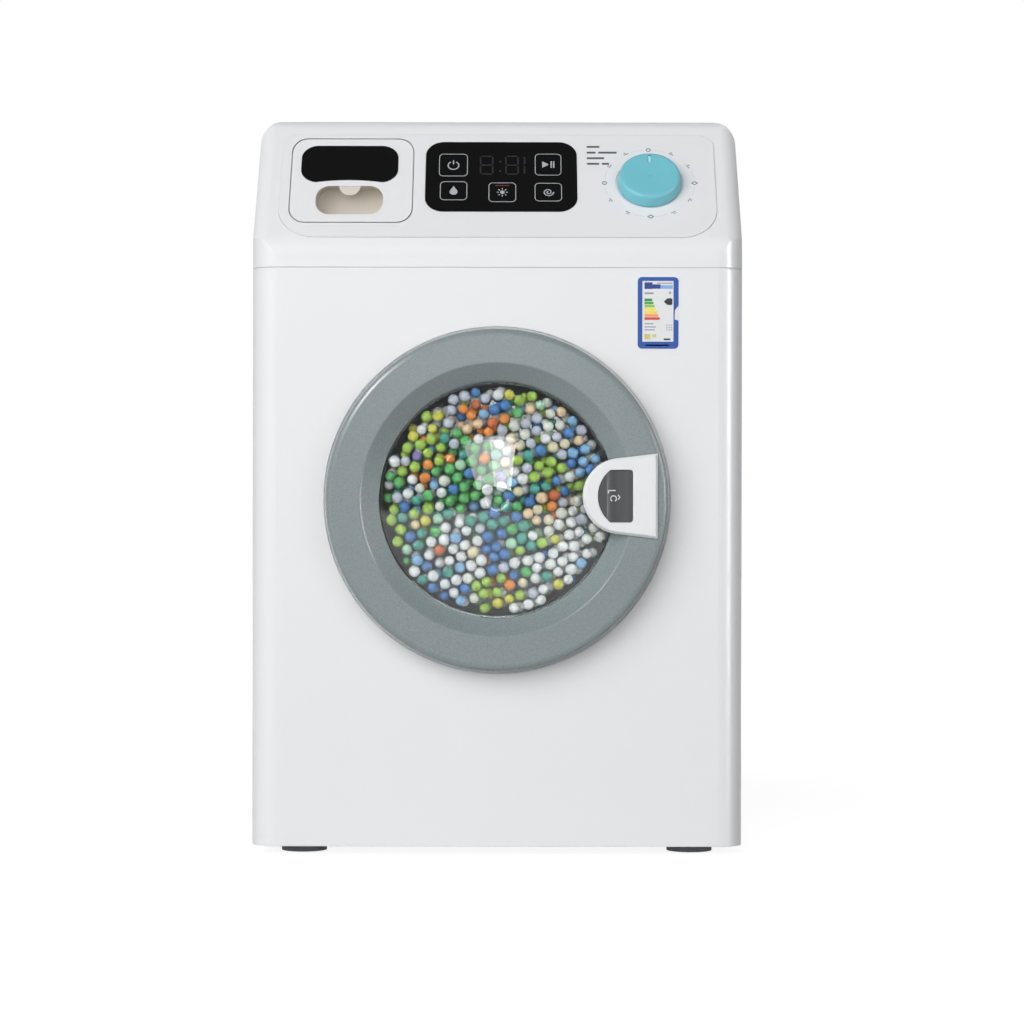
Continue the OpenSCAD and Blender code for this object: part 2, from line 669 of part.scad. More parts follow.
// Ring that closes the door from behind and clamps both window flanges
module door_back_ring() color(grey) on_door() difference() {
    rotate_extrude($fn = 128) polygon([[window_r + 0.4, 0.5], [door_r - 5.2, 0.5],
        [door_r - 2.92, 2.98], [window_r + 0.4, 2.98]]);
    translate([hinge_x - 10, -arm_out - 0.8, -1]) cube([13.6, 2 * arm_out + 1.6, 6]);
    for (a = door_screw_angle) rotate([0, 0, a]) translate([door_screw_r, 0, -1]) {
        cylinder(r = small_screw_r, h = 8);
        cylinder(r = 2.3, h = 2.7);
    }
    translate([47.9, -5.1, -1]) cube([5.2, 10.2, 8]);
}

module door_screws() color(steel) on_door() for (a = door_screw_angle)
    rotate([0, 0, a]) translate([door_screw_r, 0, 1.7]) rotate([180, 0, 0])
        screw(small_screw_r, 5, 2.2, 1.1);

// Hook on the back of the door
module door_latch() color(grey) on_door() {
    translate([48, -5, 0.5]) cube([5, 10, 2.48]);
    translate([50, -4.4, -6.5]) cube([2, 8.8, 7.2]);
    translate([51.9, 4.4, 0]) rotate([90, 0, 0]) linear_extrude(8.8)
        polygon([[0, -6.5], [0.5, -6.5], [1.1, -5.4], [0.9, -4.6], [0, -4]]);
}

// Region under the window's outer face, drawn in by d
module under_dome(d) intersection() {
    translate([0, dome_h - dome_r]) circle(dome_r - d, $fn = 720);
    square([window_r - 0.1, 20]);
}

// Clear front wall of the window: shallow cap, raised middle, flange, and a scallop at the handle
module window_dome() color("#DCE4E8", 0.35) on_door() {
    rotate_extrude($fn = 128) {
        difference() {
            union() {
                under_dome(0);
                translate([0, 0.7]) intersection() {
                    under_dome(0);
                    square([raised_r, 20]);
                }
                square([window_r + 3.4, 4.18]);
            }
            intersection() {
                under_dome(dome_skin);
                square([window_r - 0.9, 20]);
            }
            square([window_r + 4, 3.6]);
        }
    }
    difference() {
        intersection() {
            translate([0, 0, 5]) linear_extrude(4.6) difference() {
                handle_outline(4.1);
                handle_outline(3.1);
            }
            cylinder(r = window_r - 0.4, h = 20);
        }
        rotate_extrude($fn = 128) under_dome(dome_skin - 0.2);
    }
}

// Clear bowl that closes the bead chamber from behind
module window_bowl() color("#DCE4E8", 0.35) on_door() rotate_extrude($fn = 128)
    polygon([[window_r + 3.4, 3.58], [40.2, 3.58], [39.8, -4.4], [38.9, -5.7], [37.2, -6.1],
        [0, -6.1], [0, -7.5], [37.5, -7.5], [39.5, -6.8], [40.6, -5], [41, 2.98],
        [window_r + 3.4, 2.98]]);

// Loose foam beads, one close layer behind the window in rows set off by half a pitch
bead_rows = floor(bead_reach / (bead_pitch * sin(60)));
function bead_height(r) = sqrt(pow(dome_r - dome_skin - bead_d / 2 - 0.2, 2) - r * r) + dome_h - dome_r;
module foam_beads() color("#D8E08A") on_door()
    for (j = [-bead_rows:bead_rows]) for (i = [-bead_rows - 2:bead_rows + 2]) {
        x = (i + (abs(j) % 2) / 2) * bead_pitch;
        y = j * bead_pitch * sin(60);
        if (norm([x, y]) < bead_reach)
            translate([x, y, bead_height(norm([x, y]))]) sphere(d = bead_d, $fn = 16);
    }

// White grip across the ring, with a pocket for the dark inset
module door_handle() color(white) on_door() difference() {
    hull() {
        translate([0, 0, handle_seat]) linear_extrude(door_proud - handle_seat - 1, $fn = 48)
            handle_outline(0);
        translate([0, 0, handle_seat]) linear_extrude(door_proud - handle_seat, $fn = 48)
            handle_outline(-0.9);
    }
    translate([0, 0, door_proud - 2.4]) linear_extrude(5) inset_outline(0.05);
}
module inset_outline(g) translate([0, handle_y]) intersection() {
    translate([46.2, 0]) circle(11.5 + g);
    rounded_box(30, 46.7 + g, -9 - g, 9 + g, 1);
}

// Dark inset, dished towards its round side
module handle_inset() color(dark) on_door() difference() {
    translate([0, 0, door_proud - 2.4]) linear_extrude(2.1) inset_outline(0);
    translate([41.5, 20, door_proud + 8.2]) rotate([90, 0, 0]) cylinder(r = 9.3, h = 40);
}

// Drum barrel, open in front with a rolled lip, perforated in rows
module drum_shell() color(steel) on_door() difference() {
    rotate_extrude($fn = 128) polygon([[44, drum_front - 2.2], [44.2, drum_front - 0.8],
        [45.2, drum_front], [drum_r - 1.2, drum_front], [drum_r, drum_front - 1.2],
        [drum_r, drum_back_h], [drum_r - drum_skin, drum_back_h],
        [drum_r - drum_skin, drum_front - 1.6], [45.8, drum_front - 1.6], [45.6, drum_front - 2.4]]);
    for (row = [1:3]) for (i = [0:drum_holes - 1]) rotate([0, 0, 15 + i * 360 / drum_holes])
        translate([drum_r - 4, 0, drum_front - row * drum_len / 4]) rotate([0, 90, 0])
            cylinder(r = 2.2, h = 8, $fn = 24);
}

// Back of the drum with its hub and a ring of holes
module drum_back() color(steel) on_door() difference() {
    rotate_extrude($fn = 128) polygon([[0, -80.5], [9, -80.5], [10.5, -77], [drum_r, drum_back_h - 2],
        [drum_r, drum_back_h], [24, drum_back_h], [22, drum_back_h + 1.6], [0, drum_back_h + 1.6]]);
    translate([0, 0, -90]) cylinder(r = shaft_r, h = 30);
    for (a = [0:30:330]) rotate([0, 0, a]) translate([36, 0, -80]) cylinder(r = 2.2, h = 12, $fn = 24);
}

// Three lifting ribs inside the barrel
module drum_lifters() color(steel) on_door() intersection() {
    for (a = [90, 210, 330]) rotate([0, 0, a])
        translate([0, 0, drum_back_h + 0.05]) linear_extrude(drum_len - 8)
            polygon([[drum_r, -6], [drum_r, 6], [drum_r - 4, 5], [drum_r - 9, 2.6], [drum_r - 9.6, 1.4],
                [drum_r - 9.6, -1.4], [drum_r - 9, -2.6], [drum_r - 4, -5]]);
    translate([0, 0, -100]) cylinder(r = drum_r - drum_skin, h = 100, $fn = 128);
}

module drum_shaft() color(steel) on_door() {
    translate([0, 0, -99]) cylinder(r = shaft_r, h = 99 + drum_back_h + 1.6);
}

// Straight-sided gear outline: teeth of module m with a little backlash
function on_circle(r, a) = [r * cos(a), r * sin(a)];
module gear_outline(teeth, m, turn) {
    root = teeth * m / 2 - 1.15 * m;
    tip = teeth * m / 2 + 0.9 * m;
    slack = 4 / teeth;
    polygon([for (i = [0:teeth - 1]) for (k = [[root, -1.3], [tip, -0.45], [tip, 0.45], [root, 1.3]])
        on_circle(k[0], turn + (i * 360 + k[1] * 90) / teeth - sign(k[1]) * slack)]);
}

// Gear of the drum shaft, with a thinner web pierced by six holes
module drum_gear() color("#E6E3D8") on_door() difference() {
    translate([0, 0, gear_h]) linear_extrude(gear_w)
        gear_outline(gear_teeth, gear_m, -90 + 180 / gear_teeth);
    translate([0, 0, gear_h - 10]) cylinder(r = shaft_r, h = 30);
    for (h = [gear_h - 1, gear_h + gear_w - 1.8]) translate([0, 0, h]) difference() {
        cylinder(r = 20, h = 2.8);
        cylinder(r = 7.5, h = 2.8);
    }
    for (a = [0:60:300]) rotate([0, 0, a]) translate([13.8, 0, gear_h - 5]) cylinder(r = 3.6, h = 20);
}

module motor_shaft() color(steel) on_door() translate([0, -gear_d, motor_h + 4.5])
    cylinder(r = 1, h = bracket_h + 2.5 - motor_h - 4.5);

module motor_pinion() color("#C8A95A") on_door() translate([0, -gear_d, gear_h - 0.5]) difference() {
    linear_extrude(gear_w + 1) gear_outline(pinion_teeth, gear_m, 90);
    translate([0, 0, -5]) cylinder(r = 1, h = 30);
}

// Programme dial: dished top with a pointer groove, flutes round its side
module dial_knob() color("#78BFCF") on_slope() translate([dial_x, dial_v, 0]) difference() {
    rotate_extrude($fn = 96) polygon([[0, 0.3], [dial_r, 0.3], [dial_r, 0.9], [dial_r - 0.6, 3.9],
        [dial_r - 0.9, 4.5], [dial_r - 1.5, 4.8], [dial_r - 2.4, 4.85], [0, 4.5]]);
    rotate_extrude($fn = 96) polygon([[4.6, 0], [dial_r - 1.8, 0], [dial_r - 2.2, 2.8], [4.6, 2.8]]);
    for (a = [5:10:355]) rotate([0, 0, a]) translate([dial_r + 0.25, 0, 1.2])
        cylinder(r = 0.5, h = 2.2, $fn = 16);
    dial_post(10);
    translate([-0.6, 6, 4.3]) cube([1.2, 3.4, 2]);
}

// D-shaped post of the dial, shared by the shaft and the knob's socket
module dial_post(top) difference() {
    translate([0, 0, board_n + 2.6]) cylinder(r = shaft_dial_r, h = min(top, 3) - board_n - 2.6);
    translate([2.2, -5, 0.6]) cube([5, 10, 10]);
}
module dial_shaft() color(steel) on_slope() translate([dial_x, dial_v, 0]) dial_post(3);

// Face of the detergent drawer, flush with the sloped panel, with a finger recess and tongue
recess_x = drawer_x - 0.6;
recess_y = -38.5;
module recess(g, y0, y1)
    translate([0, y1, 0]) rotate([90, 0, 0]) linear_extrude(y1 - y0)
        rounded_box(recess_x - 11.85 - g, recess_x + 11.85 + g, 223.5 - g, 234.3 + g, 4.8 + g);
module slope_slab(n0, n1) on_slope() translate([-150, -80, n0]) cube([300, 200, n1 - n0]);
module drawer_front() color(white) {
    difference() {
        union() {
            intersection() {
                drawer_through(0);
                slope_slab(-drawer_rim, plate_up);
            }
            intersection() {
                drawer_through(-drawer_ledge, ledge_r);
                slope_slab(-head_wall, -drawer_rim + 0.05);
            }
            intersection() {
                recess(1.3, -70, recess_y + 1.4);
                slope_slab(-40, 0);
            }
            translate([recess_x - 6, recess_y + 0.5, 225]) cube([12, tray_y0 - recess_y - 0.5, 8]);
        }
        recess(0, -80, recess_y);
    }
    intersection() {
        union() {
            to_front(recess_x, -30, 234.6) cylinder(r = 3.85, h = 60);
        }
        slope_slab(-1.2, plate_up - 0.3);
        translate([-100, -100, 200]) cube([100, 100, 34.5]);
    }
}

// Bin of the drawer
module drawer_tray() color(white) difference() {
    translate([drawer_x - tray_half, tray_y0, tray_z0]) cube([2 * tray_half, tray_y1 - tray_y0, tray_z1 - tray_z0]);
    translate([drawer_x - tray_half + tray_wall, tray_y0 + tray_wall, tray_z0 + tray_wall])
        cube([2 * (tray_half - tray_wall), tray_y1 - tray_y0 - 2 * tray_wall, 50]);
}

// Black plate on the drawer's face, its lower edge bowed up in the middle
module drawer_label() color(black) on_slope() translate([0, 0, plate_up]) linear_extrude(0.25)
    difference() {
        rounded_box(-69.8, -35.4, 28.3, 45.7, 6);
        translate([-52.6, 29.3 - 70]) circle(70, $fn = 256);
    }

// Thumb piece of the power switch, at the off end
module switch_slider() color(dark)
    translate([switch_x - switch_travel / 2, 0, switch_z]) {
        translate([-2.4, back_y - wall - 5.9, -2.7]) cube([4.8, 5.9 + wall - 0.6, 5.4]);
        for (i = [-1:1]) translate([i * 1.2 - 0.25, back_y - 1, -2.7]) cube([0.5, 0.8, 5.4]);
    }

front_shell();
rear_shell();
control_head();
base_plate();
feet();
door_seal();
hinge_bracket();
hinge_pin();
hinge_screws();
latch_keeper();
control_fascia();
display_lens();
display_module();
touch_pads();
control_board();
board_screws();
dial_encoder();
drawer_guide();
gearbox_bracket();
gearbox_screws();
drum_bush();
drive_motor();
battery_box();
battery_cells();
battery_contacts();
battery_cover();
battery_cover_screw();
speaker();
switch_body();
case_screws();
head_screws();
panel_sticker();
door_ring();
door_back_ring();
window_dome();
window_bowl();
foam_beads();
door_handle();
handle_inset();
door_latch();
door_screws();
drum_shell();
drum_back();
drum_lifters();
drum_shaft();
drum_gear();
motor_shaft();
motor_pinion();
dial_knob();
dial_shaft();
drawer_front();
drawer_tray();
drawer_label();
switch_slider();
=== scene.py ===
# Toy washing machine, dressed for a plain studio view from the front.
# Everything is in metres in the model's own frame; sizes in the dictionaries are millimetres.
import bpy
import math
import random
import bmesh
from mathutils import Matrix, Vector


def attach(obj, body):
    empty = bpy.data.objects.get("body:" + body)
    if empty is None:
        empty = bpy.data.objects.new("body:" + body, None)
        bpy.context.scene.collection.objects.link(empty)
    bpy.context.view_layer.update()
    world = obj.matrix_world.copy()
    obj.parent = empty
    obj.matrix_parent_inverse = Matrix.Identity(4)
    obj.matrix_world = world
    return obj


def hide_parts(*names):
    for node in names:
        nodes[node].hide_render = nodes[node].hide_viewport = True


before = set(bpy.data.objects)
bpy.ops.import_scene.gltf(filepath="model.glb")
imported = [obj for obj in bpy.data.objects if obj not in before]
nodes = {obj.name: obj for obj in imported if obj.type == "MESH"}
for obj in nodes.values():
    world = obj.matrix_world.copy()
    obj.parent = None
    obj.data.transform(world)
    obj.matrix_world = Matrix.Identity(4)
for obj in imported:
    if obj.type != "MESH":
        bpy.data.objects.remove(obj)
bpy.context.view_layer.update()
mm = 0.001
print("frame loaded,", len(nodes), "nodes")

# The faces that prints sit on, each as a frame of x, up and outward: slope, door's middle and front
cabinet = {"frontY": -63, "bendZ": 212.6, "tilt": 36, "doorZ": 123.5}
slopeFrame = (Matrix.Translation(Vector((0, cabinet["frontY"], cabinet["bendZ"])) * mm)
              @ Matrix.Rotation(math.radians(90 - cabinet["tilt"]), 4, "X"))
doorFrame = (Matrix.Translation(Vector((0, cabinet["frontY"], cabinet["doorZ"])) * mm)
             @ Matrix.Rotation(math.radians(90), 4, "X"))
frontFrame = (Matrix.Translation(Vector((0, cabinet["frontY"], 0)) * mm)
              @ Matrix.Rotation(math.radians(90), 4, "X"))
slopeOut = slopeFrame.col[2].to_3d()
slopeAt = slopeOut.dot(slopeFrame.translation)  # the sloped face's distance along its own normal

# Camera about a metre in front; its focal length is given in pixels of the square image
view = {"x": 5.2, "y": -1029, "z": 119.3, "roll": 0.1, "focalPixels": 2779, "imagePixels": 1024,
        "sensor": 36, "clipStart": 10}
cameraData = bpy.data.cameras.new("camera")
cameraData.sensor_width = view["sensor"]
cameraData.lens = view["focalPixels"] * view["sensor"] / view["imagePixels"]
cameraData.clip_start = view["clipStart"] * mm
camera = bpy.data.objects.new("camera", cameraData)
bpy.context.scene.collection.objects.link(camera)
camera.matrix_world = (Matrix.Translation(Vector((view["x"], view["y"], view["z"])) * mm)
                       @ Matrix.Rotation(math.radians(90), 4, "X")
                       @ Matrix.Rotation(math.radians(view["roll"]), 4, "Z"))
bpy.context.scene.camera = camera
bpy.context.scene.view_settings.view_transform = "Standard"
print("camera set")


def linear(hexText):  # sRGB hex to the linear colour that nodes take
    parts = [int(hexText[i:i + 2], 16) / 255 for i in (1, 3, 5)]
    return tuple(c / 12.92 if c <= 0.04045 else ((c + 0.055) / 1.055) ** 2.4 for c in parts) + (1,)


def perMetre(size):  # scale of a pattern whose repeat is this many millimetres
    return 1000 / size


def addNode(tree, kind, settings=None, links=None):  # links: input to (node, output)
    node = tree.nodes.new(kind)
    for key, value in (settings or {}).items():
        if isinstance(key, int) or key in node.inputs:
            node.inputs[key].default_value = value
        else:
            setattr(node, key, value)
    for key, (source, output) in (links or {}).items():
        tree.links.new(source.outputs[output], node.inputs[key])
    return node


def startMaterial(name, settings):
    material = bpy.data.materials.new(name)
    material.use_nodes = True
    tree = material.node_tree
    tree.nodes.clear()
    shader = addNode(tree, "ShaderNodeBsdfPrincipled", settings)
    addNode(tree, "ShaderNodeOutputMaterial", None, {"Surface": (shader, 0)})
    place = addNode(tree, "ShaderNodeTexCoord")
    return material, tree, shader, place


# Polished-mould ABS: white pigment with the faintest cloudiness, a gloss that wavers a little
# where the mould's polish does, and edges rounded by the mould
def mouldedAbs(name, colour, cloud, gloss=(0.3, 0.4), edge=0.35, peel=0.012, recessShade=None):
    material, tree, shader, place = startMaterial(name, {"IOR": 1.53})
    patch = addNode(tree, "ShaderNodeTexNoise", {"Scale": perMetre(45), "Detail": 2.0},
                    {"Vector": (place, "Object")})
    tint = addNode(tree, "ShaderNodeMix", {"data_type": "RGBA", 6: linear(colour), 7: linear(cloud)},
                   {0: (patch, 0)})
    if recessShade:  # painted shade, warm-tinted, on all that lies below the drawer's face: the finger recess, its tongue and its walls
        depth = addNode(tree, "ShaderNodeVectorMath", {"operation": "DOT_PRODUCT", 1: slopeOut},
                        {0: (place, "Object")})
        shaded = addNode(tree, "ShaderNodeMapRange",
                         {"From Min": slopeAt + recessShade["unshaded"] * mm,
                          "From Max": slopeAt + recessShade["shaded"] * mm},
                         {"Value": (depth, 1)})
        tint = addNode(tree, "ShaderNodeMix", {"data_type": "RGBA", 7: linear(recessShade["colour"])},
                       {0: (shaded, 0), 6: (tint, 2)})
    tree.links.new(tint.outputs[2], shader.inputs["Base Color"])
    wear = addNode(tree, "ShaderNodeTexNoise", {"Scale": perMetre(9), "Detail": 4.0},
                   {"Vector": (place, "Object")})
    polish = addNode(tree, "ShaderNodeMapRange",
                     {"From Min": 0.3, "From Max": 0.7, "To Min": gloss[0], "To Max": gloss[1]},
                     {"Value": (wear, 0)})
    tree.links.new(polish.outputs[0], shader.inputs["Roughness"])
    # orange peel of about 2.5 mm, a few micrometres high
    skin = addNode(tree, "ShaderNodeTexNoise", {"Scale": perMetre(2.5), "Detail": 1.0},
                   {"Vector": (place, "Object")})
    rounded = addNode(tree, "ShaderNodeBevel", {"samples": 6, "Radius": edge * mm})
    relief = addNode(tree, "ShaderNodeBump", {"Strength": 1.0, "Distance": peel * mm},
                     {"Height": (skin, 0), "Normal": (rounded, 0)})
    tree.links.new(relief.outputs[0], shader.inputs["Normal"])
    return material


# Spark-textured ABS: a fine dry grain of about 0.4 mm (coarser than the real 0.1, so that it shows)
def texturedAbs(name, colour, cloud, gloss=(0.4, 0.5), grain=0.4, depth=0.01, edge=0.3):
    material, tree, shader, place = startMaterial(name, {"IOR": 1.53})
    patch = addNode(tree, "ShaderNodeTexNoise", {"Scale": perMetre(30), "Detail": 3.0},
                    {"Vector": (place, "Object")})
    tint = addNode(tree, "ShaderNodeMix", {"data_type": "RGBA", 6: linear(colour), 7: linear(cloud)},
                   {0: (patch, 0)})
    tree.links.new(tint.outputs[2], shader.inputs["Base Color"])
    spark = addNode(tree, "ShaderNodeTexNoise", {"Scale": perMetre(grain), "Detail": 2.0},
                    {"Vector": (place, "Object")})
    polish = addNode(tree, "ShaderNodeMapRange",
                     {"From Min": 0.3, "From Max": 0.7, "To Min": gloss[0], "To Max": gloss[1]},
                     {"Value": (spark, 0)})
    tree.links.new(polish.outputs[0], shader.inputs["Roughness"])
    rounded = addNode(tree, "ShaderNodeBevel", {"samples": 6, "Radius": edge * mm})
    relief = addNode(tree, "ShaderNodeBump", {"Strength": 0.6, "Distance": depth * mm},
                     {"Height": (spark, 0), "Normal": (rounded, 0)})
    tree.links.new(relief.outputs[0], shader.inputs["Normal"])
    return material


# Cast black acrylic: near black, mirror-smooth, with the faint ripple of a cut sheet
def castAcrylic():
    material, tree, shader, place = startMaterial(
        "blackAcrylic", {"Base Color": linear("#0C0C0D"), "IOR": 1.49})
    smear = addNode(tree, "ShaderNodeTexNoise", {"Scale": perMetre(14), "Detail": 5.0},
                    {"Vector": (place, "Object")})
    polish = addNode(tree, "ShaderNodeMapRange",
                     {"From Min": 0.4, "From Max": 0.75, "To Min": 0.05, "To Max": 0.12},
                     {"Value": (smear, 0)})
    tree.links.new(polish.outputs[0], shader.inputs["Roughness"])
    rounded = addNode(tree, "ShaderNodeBevel", {"samples": 6, "Radius": 0.25 * mm})
    ripple = addNode(tree, "ShaderNodeTexNoise", {"Scale": perMetre(22), "Detail": 1.0},
                     {"Vector": (place, "Object")})
    relief = addNode(tree, "ShaderNodeBump", {"Strength": 0.5, "Distance": 0.02 * mm},
                     {"Height": (ripple, 0), "Normal": (rounded, 0)})
    tree.links.new(relief.outputs[0], shader.inputs["Normal"])
    return material


# Injection-moulded clear polystyrene: water clear, with slow flow waves that bend what is behind
def clearPolystyrene():
    material, tree, shader, place = startMaterial("clearPolystyrene", {
        "Base Color": linear("#F4F9F8"), "IOR": 1.45, "Transmission Weight": 1.0})
    haze = addNode(tree, "ShaderNodeTexNoise", {"Scale": perMetre(12), "Detail": 3.0},
                   {"Vector": (place, "Object")})
    polish = addNode(tree, "ShaderNodeMapRange",
                     {"From Min": 0.35, "From Max": 0.8, "To Min": 0.0, "To Max": 0.012},
                     {"Value": (haze, 0)})
    tree.links.new(polish.outputs[0], shader.inputs["Roughness"])
    flow = addNode(tree, "ShaderNodeTexNoise", {"Scale": perMetre(16), "Detail": 0.0},
                   {"Vector": (place, "Object")})
    rounded = addNode(tree, "ShaderNodeBevel", {"samples": 6, "Radius": 0.35 * mm})
    relief = addNode(tree, "ShaderNodeBump", {"Strength": 0.2, "Distance": 0.05 * mm},
                     {"Height": (flow, 0), "Normal": (rounded, 0)})
    tree.links.new(relief.outputs[0], shader.inputs["Normal"])
    return material


# Expanded polystyrene: matt, closed cells of about 0.7 mm pressed flat at the skin, light soaks in
def expandedFoam(name, colour):
    material, tree, shader, place = startMaterial(name, {
        "IOR": 1.4, "Subsurface Weight": 0.12, "Subsurface Radius": (1, 1, 1),
        "Subsurface Scale": 0.6 * mm})
    cells = addNode(tree, "ShaderNodeTexVoronoi", {"feature": "DISTANCE_TO_EDGE", "Scale": perMetre(0.7)},
                    {"Vector": (place, "Object")})
    walls = addNode(tree, "ShaderNodeMapRange",
                    {"From Min": 0.0, "From Max": 0.12, "To Min": 0.0, "To Max": 1.0},
                    {"Value": (cells, 0)})
    dark = tuple(c * 0.8 for c in linear(colour)[:3]) + (1,)
    tint = addNode(tree, "ShaderNodeMix", {"data_type": "RGBA", 6: dark, 7: linear(colour)},
                   {0: (walls, 0)})
    tree.links.new(tint.outputs[2], shader.inputs["Base Color"])
    sheen = addNode(tree, "ShaderNodeMapRange", {"To Min": 0.75, "To Max": 0.5}, {"Value": (walls, 0)})
    tree.links.new(sheen.outputs[0], shader.inputs["Roughness"])
    relief = addNode(tree, "ShaderNodeBump", {"Strength": 0.5, "Distance": 0.05 * mm},
                     {"Height": (walls, 0)})
    tree.links.new(relief.outputs[0], shader.inputs["Normal"])
    return material


# Moulded rubber: dark and dry, with pale bloom in patches and a pebbled skin of about 0.5 mm
def mouldedRubber(name, colour, bloom):
    material, tree, shader, place = startMaterial(name, {"IOR": 1.5})
    dust = addNode(tree, "ShaderNodeTexNoise", {"Scale": perMetre(6), "Detail": 5.0},
                   {"Vector": (place, "Object")})
    spread = addNode(tree, "ShaderNodeMapRange", {"From Min": 0.42, "From Max": 0.7}, {"Value": (dust, 0)})
    tint = addNode(tree, "ShaderNodeMix", {"data_type": "RGBA", 6: linear(colour), 7: linear(bloom)},
                   {0: (spread, 0)})
    tree.links.new(tint.outputs[2], shader.inputs["Base Color"])
    dull = addNode(tree, "ShaderNodeMapRange", {"To Min": 0.62, "To Max": 0.85}, {"Value": (dust, 0)})
    tree.links.new(dull.outputs[0], shader.inputs["Roughness"])
    pebble = addNode(tree, "ShaderNodeTexVoronoi", {"Scale": perMetre(0.5)}, {"Vector": (place, "Object")})
    rounded = addNode(tree, "ShaderNodeBevel", {"samples": 6, "Radius": 0.4 * mm})
    relief = addNode(tree, "ShaderNodeBump", {"Strength": 0.4, "Distance": 0.03 * mm},
                     {"Height": (pebble, 0), "Normal": (rounded, 0)})
    tree.links.new(relief.outputs[0], shader.inputs["Normal"])
    return material


# Coated paper: bright, with slight fibre mottle of about 0.8 mm under a thin gloss
def coatedPaper():
    material, tree, shader, place = startMaterial("coatedPaper", {"IOR": 1.5})
    fibre = addNode(tree, "ShaderNodeTexNoise", {"Scale": perMetre(0.8), "Detail": 6.0, "Distortion": 1.5},
                    {"Vector": (place, "Object")})
    tint = addNode(tree, "ShaderNodeMix", {"data_type": "RGBA", 6: linear("#EEEFF0"),
                                           7: linear("#DFE1E3")}, {0: (fibre, 0)})
    tree.links.new(tint.outputs[2], shader.inputs["Base Color"])
    coat = addNode(tree, "ShaderNodeMapRange", {"To Min": 0.32, "To Max": 0.5}, {"Value": (fibre, 0)})
    tree.links.new(coat.outputs[0], shader.inputs["Roughness"])
    return material


# Screen-printed ink: a flat film, uneven over about 0.9 mm
def printedInk(name, colour, gloss=(0.4, 0.55)):
    material, tree, shader, place = startMaterial(name, {"IOR": 1.5})
    screen = addNode(tree, "ShaderNodeTexNoise", {"Scale": perMetre(0.9), "Detail": 3.0},
                     {"Vector": (place, "Object")})
    thin = tuple(min(1, c * 1.18 + 0.004) for c in linear(colour)[:3]) + (1,)
    tint = addNode(tree, "ShaderNodeMix", {"data_type": "RGBA", 6: linear(colour), 7: thin},
                   {0: (screen, 0)})
    tree.links.new(tint.outputs[2], shader.inputs["Base Color"])
    dull = addNode(tree, "ShaderNodeMapRange", {"To Min": gloss[0], "To Max": gloss[1]},
                   {"Value": (screen, 0)})
    tree.links.new(dull.outputs[0], shader.inputs["Roughness"])
    return material


# Metal with a worked surface: a mottle of the given size in shade and gloss, and fine pits
def workedMetal(name, colour, shade, gloss, mottle, depth=0.008):
    material, tree, shader, place = startMaterial(name, {"Metallic": 1.0})
    grains = addNode(tree, "ShaderNodeTexVoronoi", {"Scale": perMetre(mottle), "Randomness": 1.0},
                     {"Vector": (place, "Object")})
    cloud = addNode(tree, "ShaderNodeTexNoise", {"Scale": perMetre(mottle * 2.5), "Detail": 5.0},
                    {"Vector": (place, "Object")})
    tint = addNode(tree, "ShaderNodeMix", {"data_type": "RGBA", 6: linear(colour), 7: linear(shade)},
                   {0: (cloud, 0)})
    tree.links.new(tint.outputs[2], shader.inputs["Base Color"])
    polish = addNode(tree, "ShaderNodeMapRange", {"To Min": gloss[0], "To Max": gloss[1]},
                     {"Value": (cloud, 0)})
    tree.links.new(polish.outputs[0], shader.inputs["Roughness"])
    rounded = addNode(tree, "ShaderNodeBevel", {"samples": 6, "Radius": 0.15 * mm})
    relief = addNode(tree, "ShaderNodeBump", {"Strength": 0.5, "Distance": depth * mm},
                     {"Height": (grains, 0), "Normal": (rounded, 0)})
    tree.links.new(relief.outputs[0], shader.inputs["Normal"])
    return material


# Glass-fibre laminate under green lacquer: copper tracks 1.2 mm apart show as paler lines
def lacqueredBoard():
    material, tree, shader, place = startMaterial("boardLaminate", {"IOR": 1.5})
    tracks = addNode(tree, "ShaderNodeTexVoronoi",
                     {"feature": "F1", "distance": "MANHATTAN", "Scale": perMetre(5)},
                     {"Vector": (place, "Object")})
    lines = addNode(tree, "ShaderNodeMath", {"operation": "PINGPONG", 1: 0.12}, {0: (tracks, 0)})
    edge = addNode(tree, "ShaderNodeMapRange", {"From Min": 0.05, "From Max": 0.07}, {"Value": (lines, 0)})
    tint = addNode(tree, "ShaderNodeMix", {"data_type": "RGBA", 6: linear("#1F6E3C"),
                                           7: linear("#2F8A50")}, {0: (edge, 0)})
    tree.links.new(tint.outputs[2], shader.inputs["Base Color"])
    gloss = addNode(tree, "ShaderNodeMapRange", {"To Min": 0.4, "To Max": 0.28}, {"Value": (edge, 0)})
    tree.links.new(gloss.outputs[0], shader.inputs["Roughness"])
    relief = addNode(tree, "ShaderNodeBump", {"Strength": 0.6, "Distance": 0.03 * mm},
                     {"Height": (edge, 0)})
    tree.links.new(relief.outputs[0], shader.inputs["Normal"])
    return material


